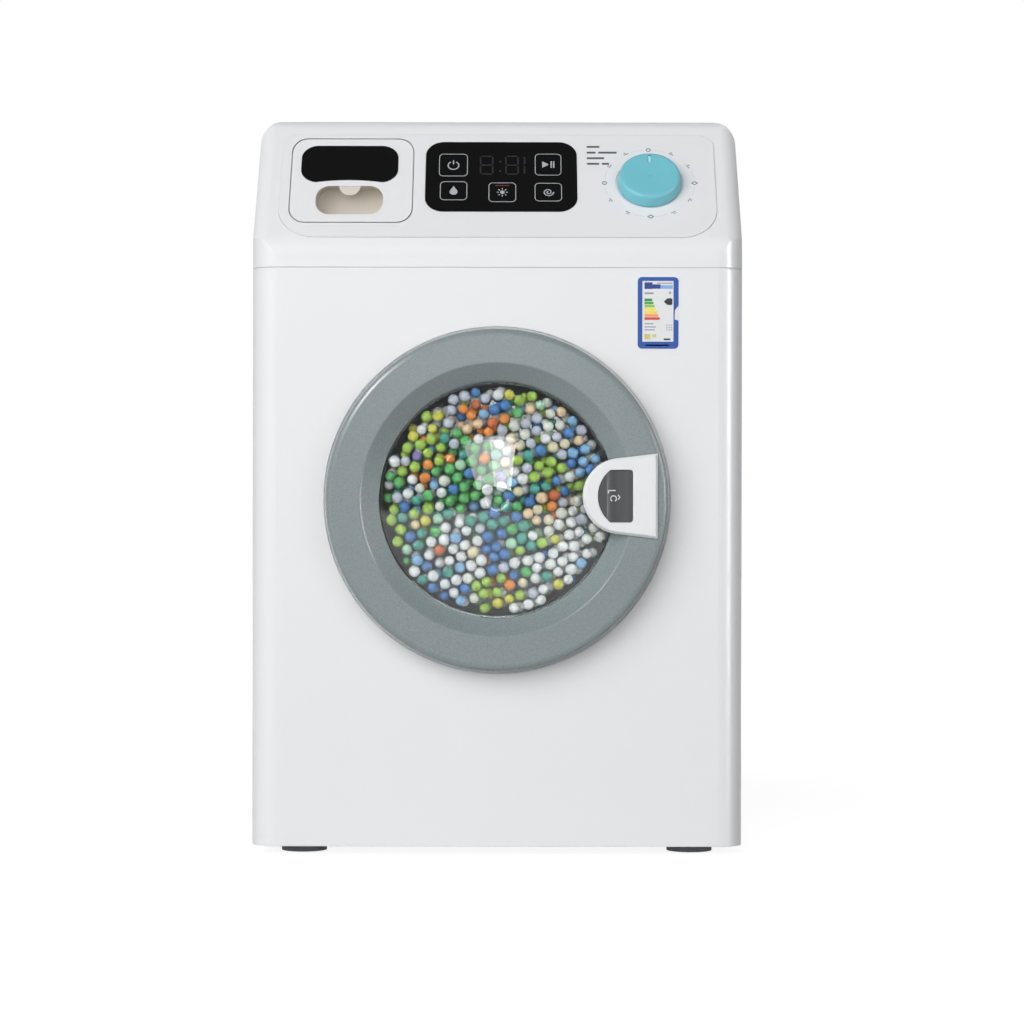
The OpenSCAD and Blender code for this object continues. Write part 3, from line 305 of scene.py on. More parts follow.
# Shrink sleeve on the cells: glossy film with a band at one end, and a bare steel cap
def shrinkSleeve():
    material, tree, shader, place = startMaterial("shrinkSleeve", {"IOR": 1.53})
    split = addNode(tree, "ShaderNodeSeparateXYZ", None, {0: (place, "Object")})
    along = addNode(tree, "ShaderNodeMapRange", {"From Min": -25.5 * mm, "From Max": 25.5 * mm},
                    {"Value": (split, 0)})
    bands = addNode(tree, "ShaderNodeValToRGB", None, {0: (along, 0)})
    ramp = bands.color_ramp
    ramp.interpolation = "CONSTANT"
    ramp.elements[0].color = linear("#8F9398")
    ramp.elements[0].position = 0.0
    ramp.elements[1].color = linear("#244A86")
    ramp.elements[1].position = 0.012
    for at, colour in ((0.7, "#C9A44A"), (0.93, "#244A86"), (0.962, "#9DA1A6")):
        ramp.elements.new(at).color = linear(colour)
    tree.links.new(bands.outputs[0], shader.inputs["Base Color"])
    wrinkle = addNode(tree, "ShaderNodeTexNoise", {"Scale": perMetre(4), "Detail": 3.0},
                      {"Vector": (place, "Object")})
    gloss = addNode(tree, "ShaderNodeMapRange", {"To Min": 0.18, "To Max": 0.38}, {"Value": (wrinkle, 0)})
    tree.links.new(gloss.outputs[0], shader.inputs["Roughness"])
    relief = addNode(tree, "ShaderNodeBump", {"Strength": 0.4, "Distance": 0.04 * mm},
                     {"Height": (wrinkle, 0)})
    tree.links.new(relief.outputs[0], shader.inputs["Normal"])
    return material


# Pressed black paper of the cone: fibres of about 1 mm, quite dull
def pressedPaper():
    material, tree, shader, place = startMaterial("conePaper", {"IOR": 1.45})
    fibre = addNode(tree, "ShaderNodeTexNoise", {"Scale": perMetre(1.0), "Detail": 8.0, "Distortion": 2.0},
                    {"Vector": (place, "Object")})
    tint = addNode(tree, "ShaderNodeMix", {"data_type": "RGBA", 6: linear("#232426"),
                                           7: linear("#343638")}, {0: (fibre, 0)})
    tree.links.new(tint.outputs[2], shader.inputs["Base Color"])
    dull = addNode(tree, "ShaderNodeMapRange", {"To Min": 0.7, "To Max": 0.92}, {"Value": (fibre, 0)})
    tree.links.new(dull.outputs[0], shader.inputs["Roughness"])
    relief = addNode(tree, "ShaderNodeBump", {"Strength": 0.6, "Distance": 0.06 * mm},
                     {"Height": (fibre, 0)})
    tree.links.new(relief.outputs[0], shader.inputs["Normal"])
    return material


# Open-cell foam of the touch pads: carbon black with pores of about 0.4 mm
def poreFoam():
    material, tree, shader, place = startMaterial("conductiveFoam", {"IOR": 1.45})
    pores = addNode(tree, "ShaderNodeTexVoronoi", {"Scale": perMetre(0.4)}, {"Vector": (place, "Object")})
    tint = addNode(tree, "ShaderNodeMix", {"data_type": "RGBA", 6: linear("#303235"),
                                           7: linear("#5E6165")}, {0: (pores, 0)})
    tree.links.new(tint.outputs[2], shader.inputs["Base Color"])
    dull = addNode(tree, "ShaderNodeMapRange", {"To Min": 0.75, "To Max": 0.95}, {"Value": (pores, 0)})
    tree.links.new(dull.outputs[0], shader.inputs["Roughness"])
    relief = addNode(tree, "ShaderNodeBump", {"Strength": 0.8, "Distance": 0.08 * mm},
                     {"Height": (pores, 0)})
    tree.links.new(relief.outputs[0], shader.inputs["Normal"])
    return material


whiteAbs = mouldedAbs("whiteAbs", "#EDEEF0", "#EBECEE")
panelAbs = mouldedAbs("panelAbs", "#ECEDEF", "#EAEBEE", gloss=(0.29, 0.33))
# the drawer front carries a warm painted shade in its finger recess, below the sloped face
drawerAbs = mouldedAbs("drawerAbs", "#EDEEF0", "#EBECEE",
                       recessShade={"unshaded": 0.35, "shaded": 0.05, "colour": "#D8D1C6"})
greyAbs = texturedAbs("greyAbs", "#848F91", "#818D8F", gloss=(0.24, 0.32), edge=0.7)
turquoiseAbs = mouldedAbs("turquoiseAbs", "#79C9D8", "#75C4D3", gloss=(0.34, 0.4), edge=0.25)
blackAcrylic = castAcrylic()
clearWindow = clearPolystyrene()
insetAbs = texturedAbs("insetAbs", "#38393B", "#424446", gloss=(0.3, 0.42), grain=0.35)
darkAbs = texturedAbs("darkAbs", "#34363A", "#2C2E31", gloss=(0.45, 0.6), grain=0.5, depth=0.03)
sealRubber = mouldedRubber("sealRubber", "#7E8286", "#8D9195")
footRubber = mouldedRubber("footRubber", "#63676C", "#74787D")
labelPaper = coatedPaper()
platedSteel = workedMetal("platedSteel", "#C2C6CA", "#A9AEB3", (0.22, 0.4), 1.2)
motorCan = workedMetal("motorCan", "#B9BBBD", "#9EA1A4", (0.28, 0.45), 0.8)
turnedBrass = workedMetal("turnedBrass", "#C9A95C", "#B08E45", (0.22, 0.38), 0.5)
drumPlastic = texturedAbs("drumPlastic", "#A9ADB1", "#9EA3A8", gloss=(0.3, 0.42), grain=0.6)
gearAcetal = texturedAbs("gearAcetal", "#E4E1D6", "#D9D5C8", gloss=(0.38, 0.5), grain=0.5)
bracketAbs = texturedAbs("bracketAbs", "#C9CCD0", "#BFC3C8", gloss=(0.45, 0.6), grain=0.6)
boardLaminate = lacqueredBoard()
cellSleeve = shrinkSleeve()
conePaper = pressedPaper()
conductiveFoam = poreFoam()

finishOf = {
    whiteAbs: ["front_shell", "rear_shell", "control_head", "base_plate", "door_handle", "drawer_tray",
               "drawer_guide", "battery_cover", "latch_keeper"],
    drawerAbs: ["drawer_front"],
    panelAbs: ["control_fascia"],
    greyAbs: ["door_ring", "door_back_ring", "door_latch"],
    turquoiseAbs: ["dial_knob"],
    blackAcrylic: ["display_lens", "drawer_label"],
    clearWindow: ["window_dome", "window_bowl"],
    insetAbs: ["handle_inset"],
    darkAbs: ["switch_slider", "switch_body", "display_module", "battery_box"],
    sealRubber: ["door_seal"],
    footRubber: ["feet"],
    labelPaper: ["panel_sticker"],
    platedSteel: ["hinge_bracket", "hinge_pin", "hinge_screws", "board_screws", "gearbox_screws",
                  "case_screws", "head_screws", "battery_cover_screw", "battery_contacts",
                  "door_screws", "dial_encoder", "dial_shaft", "motor_shaft", "drum_shaft"],
    motorCan: ["drive_motor"],
    turnedBrass: ["motor_pinion", "drum_bush"],
    drumPlastic: ["drum_shell", "drum_back", "drum_lifters"],
    gearAcetal: ["drum_gear"],
    bracketAbs: ["gearbox_bracket"],
    boardLaminate: ["control_board"],
    cellSleeve: ["battery_cells"],
    conePaper: ["speaker"],
    conductiveFoam: ["touch_pads"],
}
for finish, members in finishOf.items():
    for member in members:
        nodes[member].data.materials.clear()
        nodes[member].data.materials.append(finish)
# lamps reach the beads through the clear walls
for member in ("window_dome", "window_bowl"):
    nodes[member].visible_shadow = False
print("materials on the frame")


def spherePoints(count):  # corners and faces of a unit ball, evenly divided
    ball = bpy.data.meshes.new("ballSeed")
    work = bmesh.new()
    bmesh.ops.create_icosphere(work, subdivisions=count, radius=1)
    work.to_mesh(ball)
    work.free()
    corners = [v.co.copy() for v in ball.vertices]
    faces = [tuple(p.vertices) for p in ball.polygons]
    bpy.data.meshes.remove(ball)
    return corners, faces


# Loose foam beads: a tight front layer against the clear dome and looser ones behind
beads = {"diameter": 3.7, "vary": 0.1, "pitch": 4.35, "reach": 37.8, "jitter": 0.45, "missing": 0.015,
         "layerStep": 3.5, "layers": 2, "domeRadius": 247.7, "domeTop": 9.4, "skin": 1.55, "seed": 11}
beadColours = {
    "white": "#D2D2D3", "bone": "#CACAC2", "lavender": "#AEB1BF", "lime": "#90AE46", "yellow": "#BDB748",
    "green": "#4F9A57", "teal": "#408A7E", "blue": "#3B6CA4", "sky": "#749DC1", "orange": "#CB7A35",
    "rust": "#B45C32", "peach": "#D0B391", "cream": "#CDC1A4", "violet": "#796EA9", "mint": "#9ABEA4",
}
beadShare = {"white": 15, "bone": 10, "lavender": 9, "lime": 9, "yellow": 4, "green": 8, "teal": 6,
             "blue": 8, "sky": 7, "orange": 3.5, "rust": 1, "peach": 4, "cream": 5, "violet": 2, "mint": 5}
# where a colour has gathered: colour, x, up, spread, how strongly
gathered = [
    ("white", -15, -17.5, 8.5, 260), ("white", 22, -27, 9, 260), ("white", 14, -35, 5, 200),
    ("white", 31, -18, 6, 140), ("white", 3, 37, 4, 60), ("lavender", -12, 33, 7, 60),
    ("bone", 29, -12, 7, 60), ("bone", 12, 21, 7, 50), ("lavender", 11, 22, 7, 50),
    ("blue", 1, -19, 6, 160), ("blue", -17, -30.5, 4, 160), ("sky", -16, -28, 4, 60),
    ("blue", -30, -8, 3, 60), ("blue", 20, 28, 3, 60), ("blue", 25, 8, 4, 80), ("teal", 2, -13, 6, 80),
    ("blue", 6, 30, 3, 60), ("green", -14, 9, 7, 130), ("teal", -25, -9, 5, 90), ("green", -37, 5, 4, 80),
    ("green", -9, 0, 6, 60), ("green", 5, -4, 6, 60), ("lime", -33, -9, 5, 90), ("lime", -27, 20, 6, 130),
    ("yellow", -23, 26, 4, 60), ("lime", -4, -36, 7, 150), ("yellow", -1, -34, 6, 130),
    ("lime", 16, 9, 4, 80), ("lime", 17, 31, 5, 90), ("orange", -5, 31, 4, 190), ("rust", -3, 29, 3, 90),
    ("peach", -9, 27, 3, 60), ("orange", -33, 9, 3, 90), ("orange", -25, 9, 3, 80),
    ("orange", 20, -4, 3, 80), ("orange", 4, -29, 3, 90), ("peach", 17, -2, 5, 40),
    ("mint", -8, -7, 8, 30), ("sky", 27, 18, 6, 60), ("cream", 18, 3, 6, 40),
]


def beadHeight(r):  # outward place of a bead that lies against the inside of the dome
    inner = beads["domeRadius"] - beads["skin"] - beads["diameter"] / 2
    return math.sqrt(inner * inner - r * r) + beads["domeTop"] - beads["domeRadius"]


def spreadBeads(layer, rng):
    pitch = beads["pitch"] * (1 + 0.03 * layer)
    places = []
    rows = int(beads["reach"] / (pitch * 0.866)) + 2
    for j in range(-rows, rows + 1):
        for i in range(-rows - 3, rows + 4):
            x = (i + (j % 2) / 2 + 0.33 * layer) * pitch
            y = j * pitch * 0.866 + 0.6 * layer
            x, y = x * math.cos(0.3) - y * math.sin(0.3), x * math.sin(0.3) + y * math.cos(0.3)
            if math.hypot(x, y) > beads["reach"] + 0.8 or rng.random() < beads["missing"]:
                continue
            places.append([x + rng.gauss(0, beads["jitter"]), y + rng.gauss(0, beads["jitter"]),
                           beads["diameter"] / 2 * (1 + rng.uniform(-beads["vary"], beads["vary"]))])
    for turn in range(6):  # push neighbours apart until they only touch
        for a in range(len(places)):
            for b in range(a + 1, len(places)):
                dx, dy = places[b][0] - places[a][0], places[b][1] - places[a][1]
                reach = places[a][2] + places[b][2]
                apart = math.hypot(dx, dy)
                if 1e-6 < apart < reach:
                    push = (reach - apart) / apart / 2
                    places[a][0] -= dx * push
                    places[a][1] -= dy * push
                    places[b][0] += dx * push
                    places[b][1] += dy * push
        for place in places:
            r = math.hypot(place[0], place[1])
            if r > beads["reach"]:
                place[0] *= beads["reach"] / r
                place[1] *= beads["reach"] / r
    return places


def pickColour(x, y, rng):
    weights = dict(beadShare)
    for colour, cx, cy, spread, strength in gathered:
        near = math.exp(-((x - cx) ** 2 + (y - cy) ** 2) / (2 * spread * spread))
        weights[colour] += strength * near
    return rng.choices(list(weights), list(weights.values()))[0]


def buildBeads():
    rng = random.Random(beads["seed"])
    names = list(beadColours)
    corners, faces, slots = [], [], []
    fine, coarse = spherePoints(3), spherePoints(2)
    for layer in range(beads["layers"]):
        ball, ballFaces = fine if layer == 0 else coarse
        for x, y, r in spreadBeads(layer, rng):
            h = beadHeight(math.hypot(x, y)) - layer * beads["layerStep"] - (rng.random() ** 2) * 0.8
            first = len(corners)
            dent = Vector((rng.uniform(-1, 1), rng.uniform(-1, 1), rng.uniform(-1, 1)))
            for p in ball:  # each bead is a little out of round
                swell = 1 + 0.05 * p.dot(dent) ** 2 - 0.03
                corners.append((x + p.x * r * swell, y + p.y * r * swell, h + p.z * r * swell))
            faces.extend(tuple(first + k for k in face) for face in ballFaces)
            slots.extend([names.index(pickColour(x, y, rng))] * len(ballFaces))
    mesh = bpy.data.meshes.new("foam_beads_loose")
    mesh.from_pydata(corners, [], faces)
    mesh.polygons.foreach_set("use_smooth", [True] * len(faces))
    for name in names:
        mesh.materials.append(expandedFoam("foam" + name.capitalize(), beadColours[name]))
    mesh.polygons.foreach_set("material_index", slots)
    mesh.transform(doorFrame @ Matrix.Scale(mm, 4))
    piece = bpy.data.objects.new("foam_beads_loose", mesh)
    bpy.context.scene.collection.objects.link(piece)
    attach(piece, "door")
    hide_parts("foam_beads")
    return piece


buildBeads()
print("beads filled in")


# Outlines for the prints, in millimetres
def roundedBox(cx, cy, wide, tall, r, steps=6):
    points = []
    for sx, sy, start in ((1, 1, 0), (-1, 1, 90), (-1, -1, 180), (1, -1, 270)):
        for k in range(steps + 1):
            a = math.radians(start + 90 * k / steps)
            points.append((cx + sx * (wide / 2 - r) + r * math.cos(a),
                           cy + sy * (tall / 2 - r) + r * math.sin(a)))
    return points


def disc(cx, cy, r, steps=28):
    return [(cx + r * math.cos(2 * math.pi * k / steps), cy + r * math.sin(2 * math.pi * k / steps))
            for k in range(steps)]


def band(points, wide):  # a line of some width along a few points
    left, right = [], []
    for k, (x, y) in enumerate(points):
        ax, ay = points[max(k - 1, 0)]
        bx, by = points[min(k + 1, len(points) - 1)]
        size = math.hypot(bx - ax, by - ay) or 1
        nx, ny = -(by - ay) / size * wide / 2, (bx - ax) / size * wide / 2
        left.append((x + nx, y + ny))
        right.append((x - nx, y - ny))
    return left + right[::-1]


def arc(cx, cy, r, start, end, steps=10):
    return [(cx + r * math.cos(math.radians(start + (end - start) * k / steps)),
             cy + r * math.sin(math.radians(start + (end - start) * k / steps))) for k in range(steps + 1)]


def printOn(name, place, lift, outlines, ink, body, thick=0.03, follow=None):
    curve = bpy.data.curves.new(name, "CURVE")
    curve.dimensions = "2D"
    curve.fill_mode = "BOTH"
    curve.extrude = thick / 2
    for points in outlines:
        spline = curve.splines.new("POLY")
        spline.points.add(len(points) - 1)
        for point, (x, y) in zip(spline.points, points):
            point.co = (x, y, 0, 1)
        spline.use_cyclic_u = True
    holder = bpy.data.objects.new(name, curve)
    bpy.context.scene.collection.objects.link(holder)
    bpy.context.view_layer.update()
    mesh = bpy.data.meshes.new_from_object(holder.evaluated_get(bpy.context.evaluated_depsgraph_get()))
    bpy.data.objects.remove(holder)
    if follow:  # lies on a curved face
        for corner in mesh.vertices:
            corner.co.z += follow(corner.co.x)
    mesh.transform(place @ Matrix.Scale(mm, 4) @ Matrix.Translation((0, 0, lift + thick / 2)))
    mesh.materials.clear()
    mesh.materials.append(ink)
    mesh.name = name
    piece = bpy.data.objects.new(name, mesh)
    bpy.context.scene.collection.objects.link(piece)
    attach(piece, body)
    return piece


# Printed keys and digits on the black window
window = {"face": 0.6, "line": 0.26, "keyRound": 1.6, "segment": 0.62}
keys = [(-15.8, 36.5, 10.2, 10.8), (17.8, 36.8, 9.4, 10.4), (-15.6, 24.2, 9.6, 8.9),
        (1.6, 23.5, 9.7, 9.2), (17.8, 23.6, 9.6, 8.7)]
keyInk = printedInk("keyInk", "#A9ADB0")
tintInk = printedInk("tintInk", "#5A2A2C")
dimInk = printedInk("dimInk", "#2B2C2E", gloss=(0.15, 0.25))
keyLines, keySigns = [], []
for cx, cy, wide, tall in keys:
    keyLines += [roundedBox(cx, cy, wide, tall, window["keyRound"]),
                 roundedBox(cx, cy, wide - 2 * window["line"], tall - 2 * window["line"],
                            window["keyRound"] - window["line"])]
(ax, ay), (bx, by), (cx, cy), (dx, dy), (ex, ey) = [(k[0], k[1]) for k in keys]
keySigns += [band(arc(ax, ay - 0.2, 1.9, 120, 420, 18), 0.42), band([(ax, ay + 0.4), (ax, ay + 2.2)], 0.42)]
keySigns += [[(bx - 2.1, by - 1.6), (bx - 2.1, by + 1.6), (bx + 0.3, by)],
             band([(bx + 1.1, by - 1.6), (bx + 1.1, by + 1.6)], 0.5),
             band([(bx + 2, by - 1.6), (bx + 2, by + 1.6)], 0.5)]
keySigns += [arc(cx, cy - 0.5, 1.4, 155, 385, 16) + [(cx, cy + 2.2)]]
keySigns += [disc(dx, dy, 0.8)] + [band([(dx + 1.25 * math.cos(a), dy + 1.25 * math.sin(a)),
                                         (dx + 2 * math.cos(a), dy + 2 * math.sin(a))], 0.34)
                                   for a in [k * math.pi / 4 for k in range(8)]]
keySigns += [band([(ex + 0.22 * a * math.cos(a * 1.4), ey + 0.22 * a * math.sin(a * 1.4))
                   for a in [k * 0.5 for k in range(2, 19)]], 0.4)]
printOn("key_lines", slopeFrame, window["face"], keyLines, keyInk, "cabinet")
printOn("key_signs", slopeFrame, window["face"], keySigns, keyInk, "cabinet")
printOn("key_tint", slopeFrame, window["face"], [roundedBox(dx, dy + tall / 2 - 1.1, 5, 0.5, 0.2)],
        tintInk, "cabinet")


def sevenSegments(x, y, wide, tall, s):  # all seven bars of an unlit digit
    h, v = wide / 2, tall / 2
    cut = s * 0.6
    level = [band([(x - h + cut, y + k * v), (x + h - cut, y + k * v)], s) for k in (-1, 0, 1)]
    upright = [band([(x + a * h, y + b * v + cut), (x + a * h, y + (b + 1) * v - cut)], s)
               for a in (-1, 1) for b in (-1, 0)]
    return level + upright


digitBars = (sevenSegments(-4.0, 36.5, 4.3, 8.6, window["segment"])
             + sevenSegments(5.0, 36.5, 4.3, 8.6, window["segment"])
             + [disc(0.8, 38.1, 0.45), disc(0.8, 33.7, 0.45)]
             + [band([(9.4, 32.4), (9.4, 36)], window["segment"]),
                band([(9.4, 37), (9.4, 40.5)], window["segment"])])
printOn("unlit_digits", slopeFrame, window["face"], digitBars, dimInk, "cabinet")

# Marks round the dial: a ring of small signs joined by faint arcs
dial = {"x": 53.6, "v": 28.2, "ring": 15.9, "face": 0.4, "groove": 4.36, "pointerAt": 7.7}
markInk = printedInk("markInk", "#7C8386")
paleInk = printedInk("paleInk", "#CFD2D5")
textInk = printedInk("textInk", "#55595D")
marks, arcs = [], []
for hour in range(12):
    a = math.radians(90 - hour * 30)
    x, y = dial["x"] + dial["ring"] * math.cos(a), dial["v"] + dial["ring"] * math.sin(a)
    if hour in (0, 9):
        marks += [disc(x, y, 0.9), disc(x, y, 0.5)]
    elif hour in (3, 6):
        marks += [[(x - 1.3, y), (x, y + 1.0), (x + 1.3, y), (x, y - 1.0)],
                  [(x - 0.7, y), (x, y + 0.5), (x + 0.7, y), (x, y - 0.5)]]
    else:
        tx, ty = math.sin(a), -math.cos(a)
        marks += [band([(x - tx * 0.9, y - ty * 0.9), (x + tx * 0.9, y + ty * 0.9)], 0.35),
                  band([(x - tx * 0.7 + math.cos(a) * 0.7, y - ty * 0.7 + math.sin(a) * 0.7),
                        (x + tx * 0.2 + math.cos(a) * 0.7, y + ty * 0.2 + math.sin(a) * 0.7)], 0.3)]
for quarter in range(4):
    start = quarter * 90
    arcs += [band(arc(dial["x"], dial["v"], dial["ring"], start + 7, start + 22), 0.22),
             band(arc(dial["x"], dial["v"], dial["ring"], start + 68, start + 83), 0.22)]
printOn("dial_marks", slopeFrame, dial["face"], marks, markInk, "cabinet")
printOn("dial_arcs", slopeFrame, dial["face"], arcs, paleInk, "cabinet")
# plain bars where the programme names would stand
words = [(45.6, [4.6]), (42.8, [3.2, 6.6]), (40.1, [6.2]), (37.4, [4.4, 2.6])]
bars = []
for up, sizes in words:
    x = 31.6
    for size in sizes:
        bars.append(roundedBox(x + size / 2, up, size, 0.9, 0.3))
        x += size + 0.9
printOn("programme_bars", slopeFrame, dial["face"], bars, textInk, "cabinet")

# Pointer line in the groove of the knob
pointerInk = printedInk("pointerInk", "#B9E4EC")
printOn("dial_pointer", slopeFrame, dial["groove"],
        [roundedBox(dial["x"], dial["v"] + dial["pointerAt"], 0.8, 3.0, 0.35)],
        pointerInk, "dial")
print("panel printed")

# Energy label with made-up bars: a frame, steps of colour and a few lines
label = {"x": 48.7, "z": 176.1, "wide": 14.3, "tall": 25.0, "face": 0.2}
lx, lz = label["x"], label["z"]
midX, midZ = lx + label["wide"] / 2, lz + label["tall"] / 2
borderInk = printedInk("borderInk", "#174C9E")
# the blue border's outline, with the notch in its right edge
frameLine = roundedBox(midX, midZ, label["wide"] - 0.1, label["tall"] - 0.1, 1.45) + [
    (lx + 14.25, lz + 9.8), (lx + 12.9, lz + 10.2), (lx + 13.0, lz + 13.4), (lx + 13.9, lz + 14.6),
    (lx + 14.25, lz + 15.0)]
printOn("label_border", frontFrame, label["face"],
        [frameLine, [(lx + 1.7, lz + 2.5), (lx + 12.5, lz + 2.5), (lx + 12.5, lz + 23.6),
                     (lx + 1.7, lz + 23.6)]],
        borderInk, "cabinet")
# the steps' colours and lengths, from the top
steps = [("#1F8A3B", 2.9), ("#45A044", 3.3), ("#8CC04A", 3.7), ("#E8E04E", 4.1), ("#F2D250", 4.6),
         ("#EE9A4C", 5.0), ("#CB4038", 5.5)]
firstStep, stepPitch = 17.0, 1.08
for k, (colour, size) in enumerate(steps):
    up = lz + firstStep - k * stepPitch
    printOn("label_step_" + str(k), frontFrame, label["face"],
            [[(lx + 2.4, up - 0.46), (lx + 2 + size, up - 0.46), (lx + 2.4 + size, up),
              (lx + 2 + size, up + 0.46), (lx + 2.4, up + 0.46)]],
            printedInk("stepInk" + str(k), colour), "cabinet")
printOn("label_tag", frontFrame, label["face"],
        [[(lx + 12.1, lz + 15.5), (lx + 12.1, lz + 17.3), (lx + 11.7, lz + 17.6), (lx + 10.3, lz + 17.5),
          (lx + 9.1, lz + 16.4), (lx + 10.3, lz + 15.3), (lx + 11.7, lz + 15.2)],
         [(lx + 9.1, lz + 3.0), (lx + 11.4, lz + 3.0), (lx + 11.4, lz + 3.6), (lx + 9.1, lz + 3.6)]],
        printedInk("tagInk", "#1C1D20"), "cabinet")
printOn("label_head", frontFrame, label["face"],
        [roundedBox(lx + 3.8, lz + 21.95, 2.8, 2.3, 0.1), roundedBox(lx + 6.6, lz + 21.6, 2.8, 1.6, 0.1)],
        printedInk("headInk", "#1B3A86"), "cabinet")
printOn("label_head_right", frontFrame, label["face"],
        [roundedBox(lx + 10.1, lz + 21.5, 4.3, 1.3, 0.1), roundedBox(lx + 6.9, lz + 1.25, 8.2, 0.5, 0.2)],
        printedInk("headInkRight", "#7FA9DF"), "cabinet")
printOn("label_marks", frontFrame, label["face"],
        [roundedBox(lx + 3.4, lz + 4.2, 2.0, 1.9, 0.1), roundedBox(lx + 5.8, lz + 4.5, 1.3, 1.0, 0.1)],
        printedInk("markYellow", "#CFC070"), "cabinet")
printOn("label_lines", frontFrame, label["face"],
        [roundedBox(lx + 9.4, lz + 22.8, 5.4, 0.35, 0.1), roundedBox(lx + 4.0, lz + 19.3, 3.2, 0.6, 0.1),
         roundedBox(lx + 11.3, lz + 19.5, 0.7, 0.8, 0.1), roundedBox(lx + 4.0, lz + 8.7, 3.2, 0.4, 0.1),
         roundedBox(lx + 4.4, lz + 7.6, 4.0, 0.35, 0.1), roundedBox(lx + 4.2, lz + 6.6, 3.6, 0.4, 0.1)]
        + [roundedBox(lx + 10.2 + 0.8 * (k % 3), lz + 8.2 - 0.8 * (k // 3), 0.4, 0.4, 0.05)
           for k in range(9)],
        printedInk("lineInk", "#8C929B"), "cabinet")

# Small generic sign in the grip's dark inset, which is dished round an upright line
grip = {"dishX": 41.5, "dishFloor": 10.9, "dishRound": 9.3, "signX": 40.3, "signUp": 1.35, "pen": 0.34}
signInk = printedInk("signInk", "#DADCDD")


def dish(x):  # how far the dished floor stands out at x
    return grip["dishRound"] - math.sqrt(grip["dishRound"] ** 2 - (x - grip["dishX"]) ** 2)


sx, sy = grip["signX"], grip["signUp"]
printOn("grip_sign", doorFrame, grip["dishFloor"],
        [band([(sx - 2 + 0.25 * k, sy + 1.9) for k in range(11)], grip["pen"]),
         band([(sx - 2, sy + 1.9), (sx - 2, sy + 0.9)], grip["pen"]),
         band(arc(sx - 0.2, sy - 0.9, 1.0, -60, 240, 14), grip["pen"]),
         band([(sx + 1.3, sy + 0.4), (sx + 2, sy - 0.4), (sx + 1.4, sy - 1.2)], grip["pen"] + 0.02)],
        signInk, "door", follow=dish)
print("labels printed")

# Plain floor: it throws little light back, keeps the shadow, and shows white to camera, glass and gloss
sweep = {"wide": 8, "under": -0.0003, "colour": "#A8A8A8", "lift": 0.88, "liftFar": 1.0, "near": 0.2,
         "far": 0.7}
floorMesh = bpy.data.meshes.new("floor")
half, under = sweep["wide"] / 2, sweep["under"]
floorMesh.from_pydata([(-half, -half, under), (half, -half, under), (half, half, under),
                       (-half, half, under)], [], [(0, 1, 2, 3)])
floor = bpy.data.objects.new("floor", floorMesh)
bpy.context.scene.collection.objects.link(floor)
paper, paperTree, paperShader, paperPlace = startMaterial("floorPaper", {
    "Base Color": linear(sweep["colour"]), "Roughness": 0.9, "Specular IOR Level": 0.0})
rays = addNode(paperTree, "ShaderNodeLightPath")
# white to the eye, gloss and glass only
seen = addNode(paperTree, "ShaderNodeMath", {"operation": "ADD"},
               {0: (rays, "Is Camera Ray"), 1: (rays, "Is Glossy Ray")})
seenAll = addNode(paperTree, "ShaderNodeMath", {"operation": "ADD", "use_clamp": True},
                  {0: (seen, 0), 1: (rays, "Is Transmission Ray")})
reach = addNode(paperTree, "ShaderNodeVectorMath", {"operation": "LENGTH"}, {0: (paperPlace, "Object")})
lift = addNode(paperTree, "ShaderNodeMapRange",
               {"From Min": sweep["near"], "From Max": sweep["far"], "To Min": sweep["lift"],
                "To Max": sweep["liftFar"]}, {"Value": (reach, 1)})
glow = addNode(paperTree, "ShaderNodeMath", {"operation": "MULTIPLY"}, {0: (seenAll, 0), 1: (lift, 0)})
paperTree.links.new(glow.outputs[0], paperShader.inputs["Emission Strength"])
paperShader.inputs["Emission Color"].default_value = (1, 1, 1, 1)
floor.data.materials.append(paper)

# Studio: dim walls and ceiling; gloss and glass see paler walls, dark only round the camera's own wall,
# and the camera sees plain white
studio = {"walls": 0.27, "ceiling": 0.12, "glossWalls": 0.8, "glossCeiling": 0.1, "from": 0.45, "to": 0.85,
          "cameraWall": 0.2, "wallFrom": -0.97, "wallTo": -0.8}
world = bpy.data.worlds.new("studio")
bpy.context.scene.world = world
world.use_nodes = True
tree = world.node_tree
tree.nodes.clear()
place = addNode(tree, "ShaderNodeTexCoord")
split = addNode(tree, "ShaderNodeSeparateXYZ", None, {0: (place, "Generated")})
high = addNode(tree, "ShaderNodeMapRange", {"From Min": studio["from"], "From Max": studio["to"]},
               {"Value": (split, 2)})
soft = addNode(tree, "ShaderNodeMix", {2: studio["walls"], 3: studio["ceiling"]}, {0: (high, 0)})
aside = addNode(tree, "ShaderNodeMapRange",
                {"From Min": studio["wallFrom"], "From Max": studio["wallTo"],
                 "To Min": studio["cameraWall"], "To Max": studio["glossWalls"]},
                {"Value": (split, 1)})
gloss = addNode(tree, "ShaderNodeMix", {3: studio["glossCeiling"]}, {0: (high, 0), 2: (aside, 0)})
rays = addNode(tree, "ShaderNodeLightPath")
inGlass = addNode(tree, "ShaderNodeMath", {"operation": "MAXIMUM"},
                  {0: (rays, "Is Glossy Ray"), 1: (rays, "Is Transmission Ray")})
unseen = addNode(tree, "ShaderNodeMix", None, {0: (inGlass, 0), 2: (soft, 0), 3: (gloss, 0)})
level = addNode(tree, "ShaderNodeMix", {3: 1.0}, {0: (rays, "Is Camera Ray"), 2: (unseen, 0)})
backdrop = addNode(tree, "ShaderNodeBackground", {"Color": (1, 1, 1, 1)}, {"Strength": (level, 0)})
addNode(tree, "ShaderNodeOutputWorld", None, {"Surface": (backdrop, 0)})


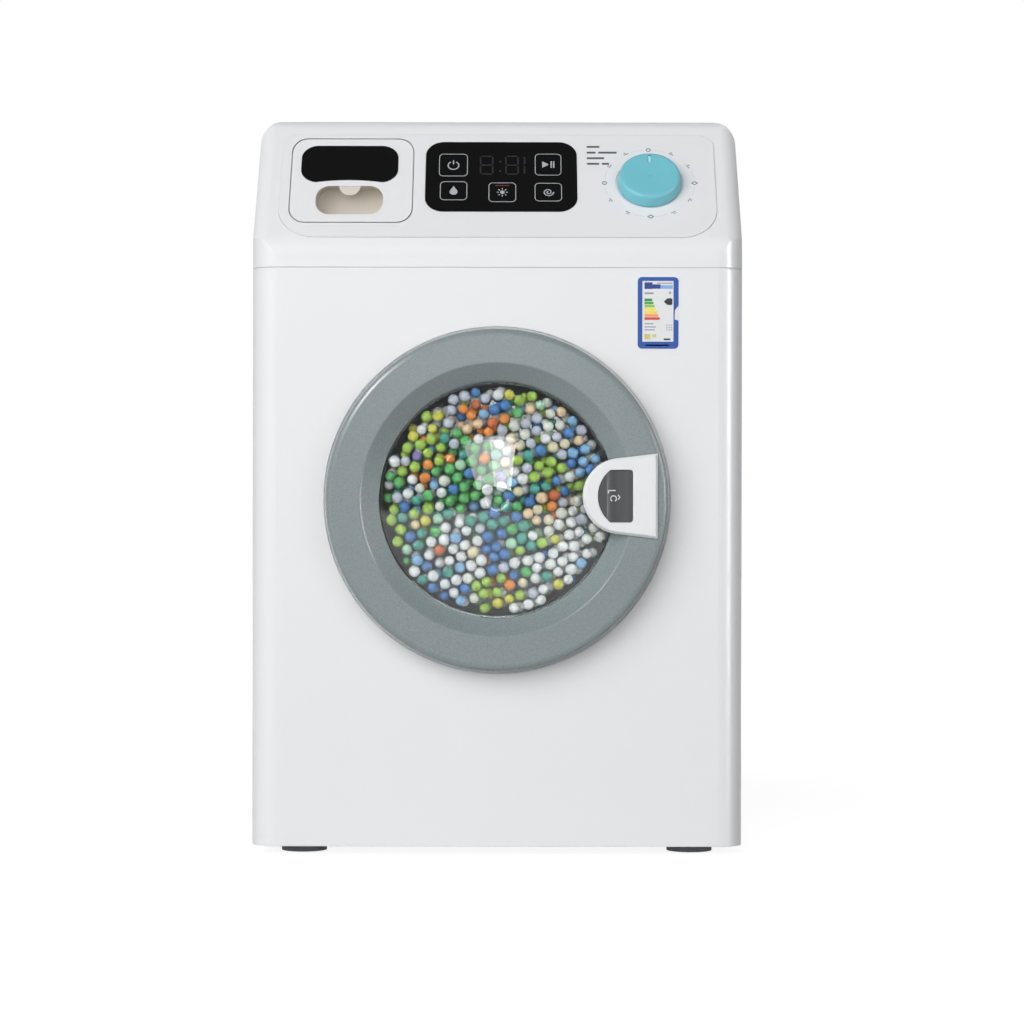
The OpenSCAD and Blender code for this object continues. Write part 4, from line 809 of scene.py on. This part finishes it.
def areaLamp(name, at, aim, wide, tall, watts, colour="#FFFFFF"):
    data = bpy.data.lights.new(name, "AREA")
    data.shape = "RECTANGLE"
    data.size, data.size_y = wide, tall
    data.energy = watts
    data.color = linear(colour)[:3]
    lamp = bpy.data.objects.new(name, data)
    bpy.context.scene.collection.objects.link(lamp)
    lamp.location = at
    lamp.rotation_euler = (Vector(aim) - Vector(at)).to_track_quat("-Z", "Y").to_euler()
    return lamp


# One wide softbox well up to the left gives the form; gloss would show it in the window, so it is
# left out there, and a small lamp of the same direction and a strip to the right draw the glints
for lamp in (areaLamp("keyLamp", (-1.25, -2.35, 1.2), (0, 0, 0.12), 3.0, 2.6, 72),
             areaLamp("fillLamp", (1.6, -2.6, 0.6), (0, 0, 0.12), 1.6, 1.6, 11.5)):
    lamp.visible_glossy = False
    lamp.visible_transmission = False  # the gloss of clear plastic counts as transmission
areaLamp("sparkLamp", (-0.85, -1.4, 0.85), (0, 0, 0.12), 0.14, 0.14, 11).visible_diffuse = False
areaLamp("stripLamp", (1.15, -0.8, 0.25), (0, 0, 0.12), 0.12, 0.8, 16).visible_diffuse = False

# Fan-shaped softbox of two cloths just above the camera, which the window mirrors
softbox = {"y": -1.27, "foot": (-0.085, 0.05, 0.165), "top": (-0.144, 0.071, 0.362), "split": 0.45,
           "footBulge": 0.017, "topBulge": 0.025, "left": 4.5, "right": 9}
fanCorners, fanFaces = [], []
for k in range(13):
    t = k / 12
    for (left, right, z), bulge in ((softbox["foot"], softbox["footBulge"]),
                                    (softbox["top"], softbox["topBulge"])):  # left, right and height
        fanCorners.append((left + (right - left) * t, softbox["y"], z + bulge * 4 * t * (1 - t)))
for k in range(12):
    fanFaces.append((2 * k, 2 * k + 1, 2 * k + 3, 2 * k + 2))
fanMesh = bpy.data.meshes.new("softbox")
fanMesh.from_pydata(fanCorners, [], fanFaces)
fan = bpy.data.objects.new("softbox", fanMesh)
bpy.context.scene.collection.objects.link(fan)
for side in ("left", "right"):
    cloth = bpy.data.materials.new("softboxCloth" + side.capitalize())
    cloth.use_nodes = True
    cloth.node_tree.nodes.clear()
    shine = addNode(cloth.node_tree, "ShaderNodeEmission", {"Strength": softbox[side]})
    addNode(cloth.node_tree, "ShaderNodeOutputMaterial", None, {"Surface": (shine, 0)})
    fanMesh.materials.append(cloth)
fanMesh.polygons.foreach_set("material_index", [int(k / 12 >= softbox["split"]) for k in range(12)])
fan.visible_camera = False
print("stage lit")
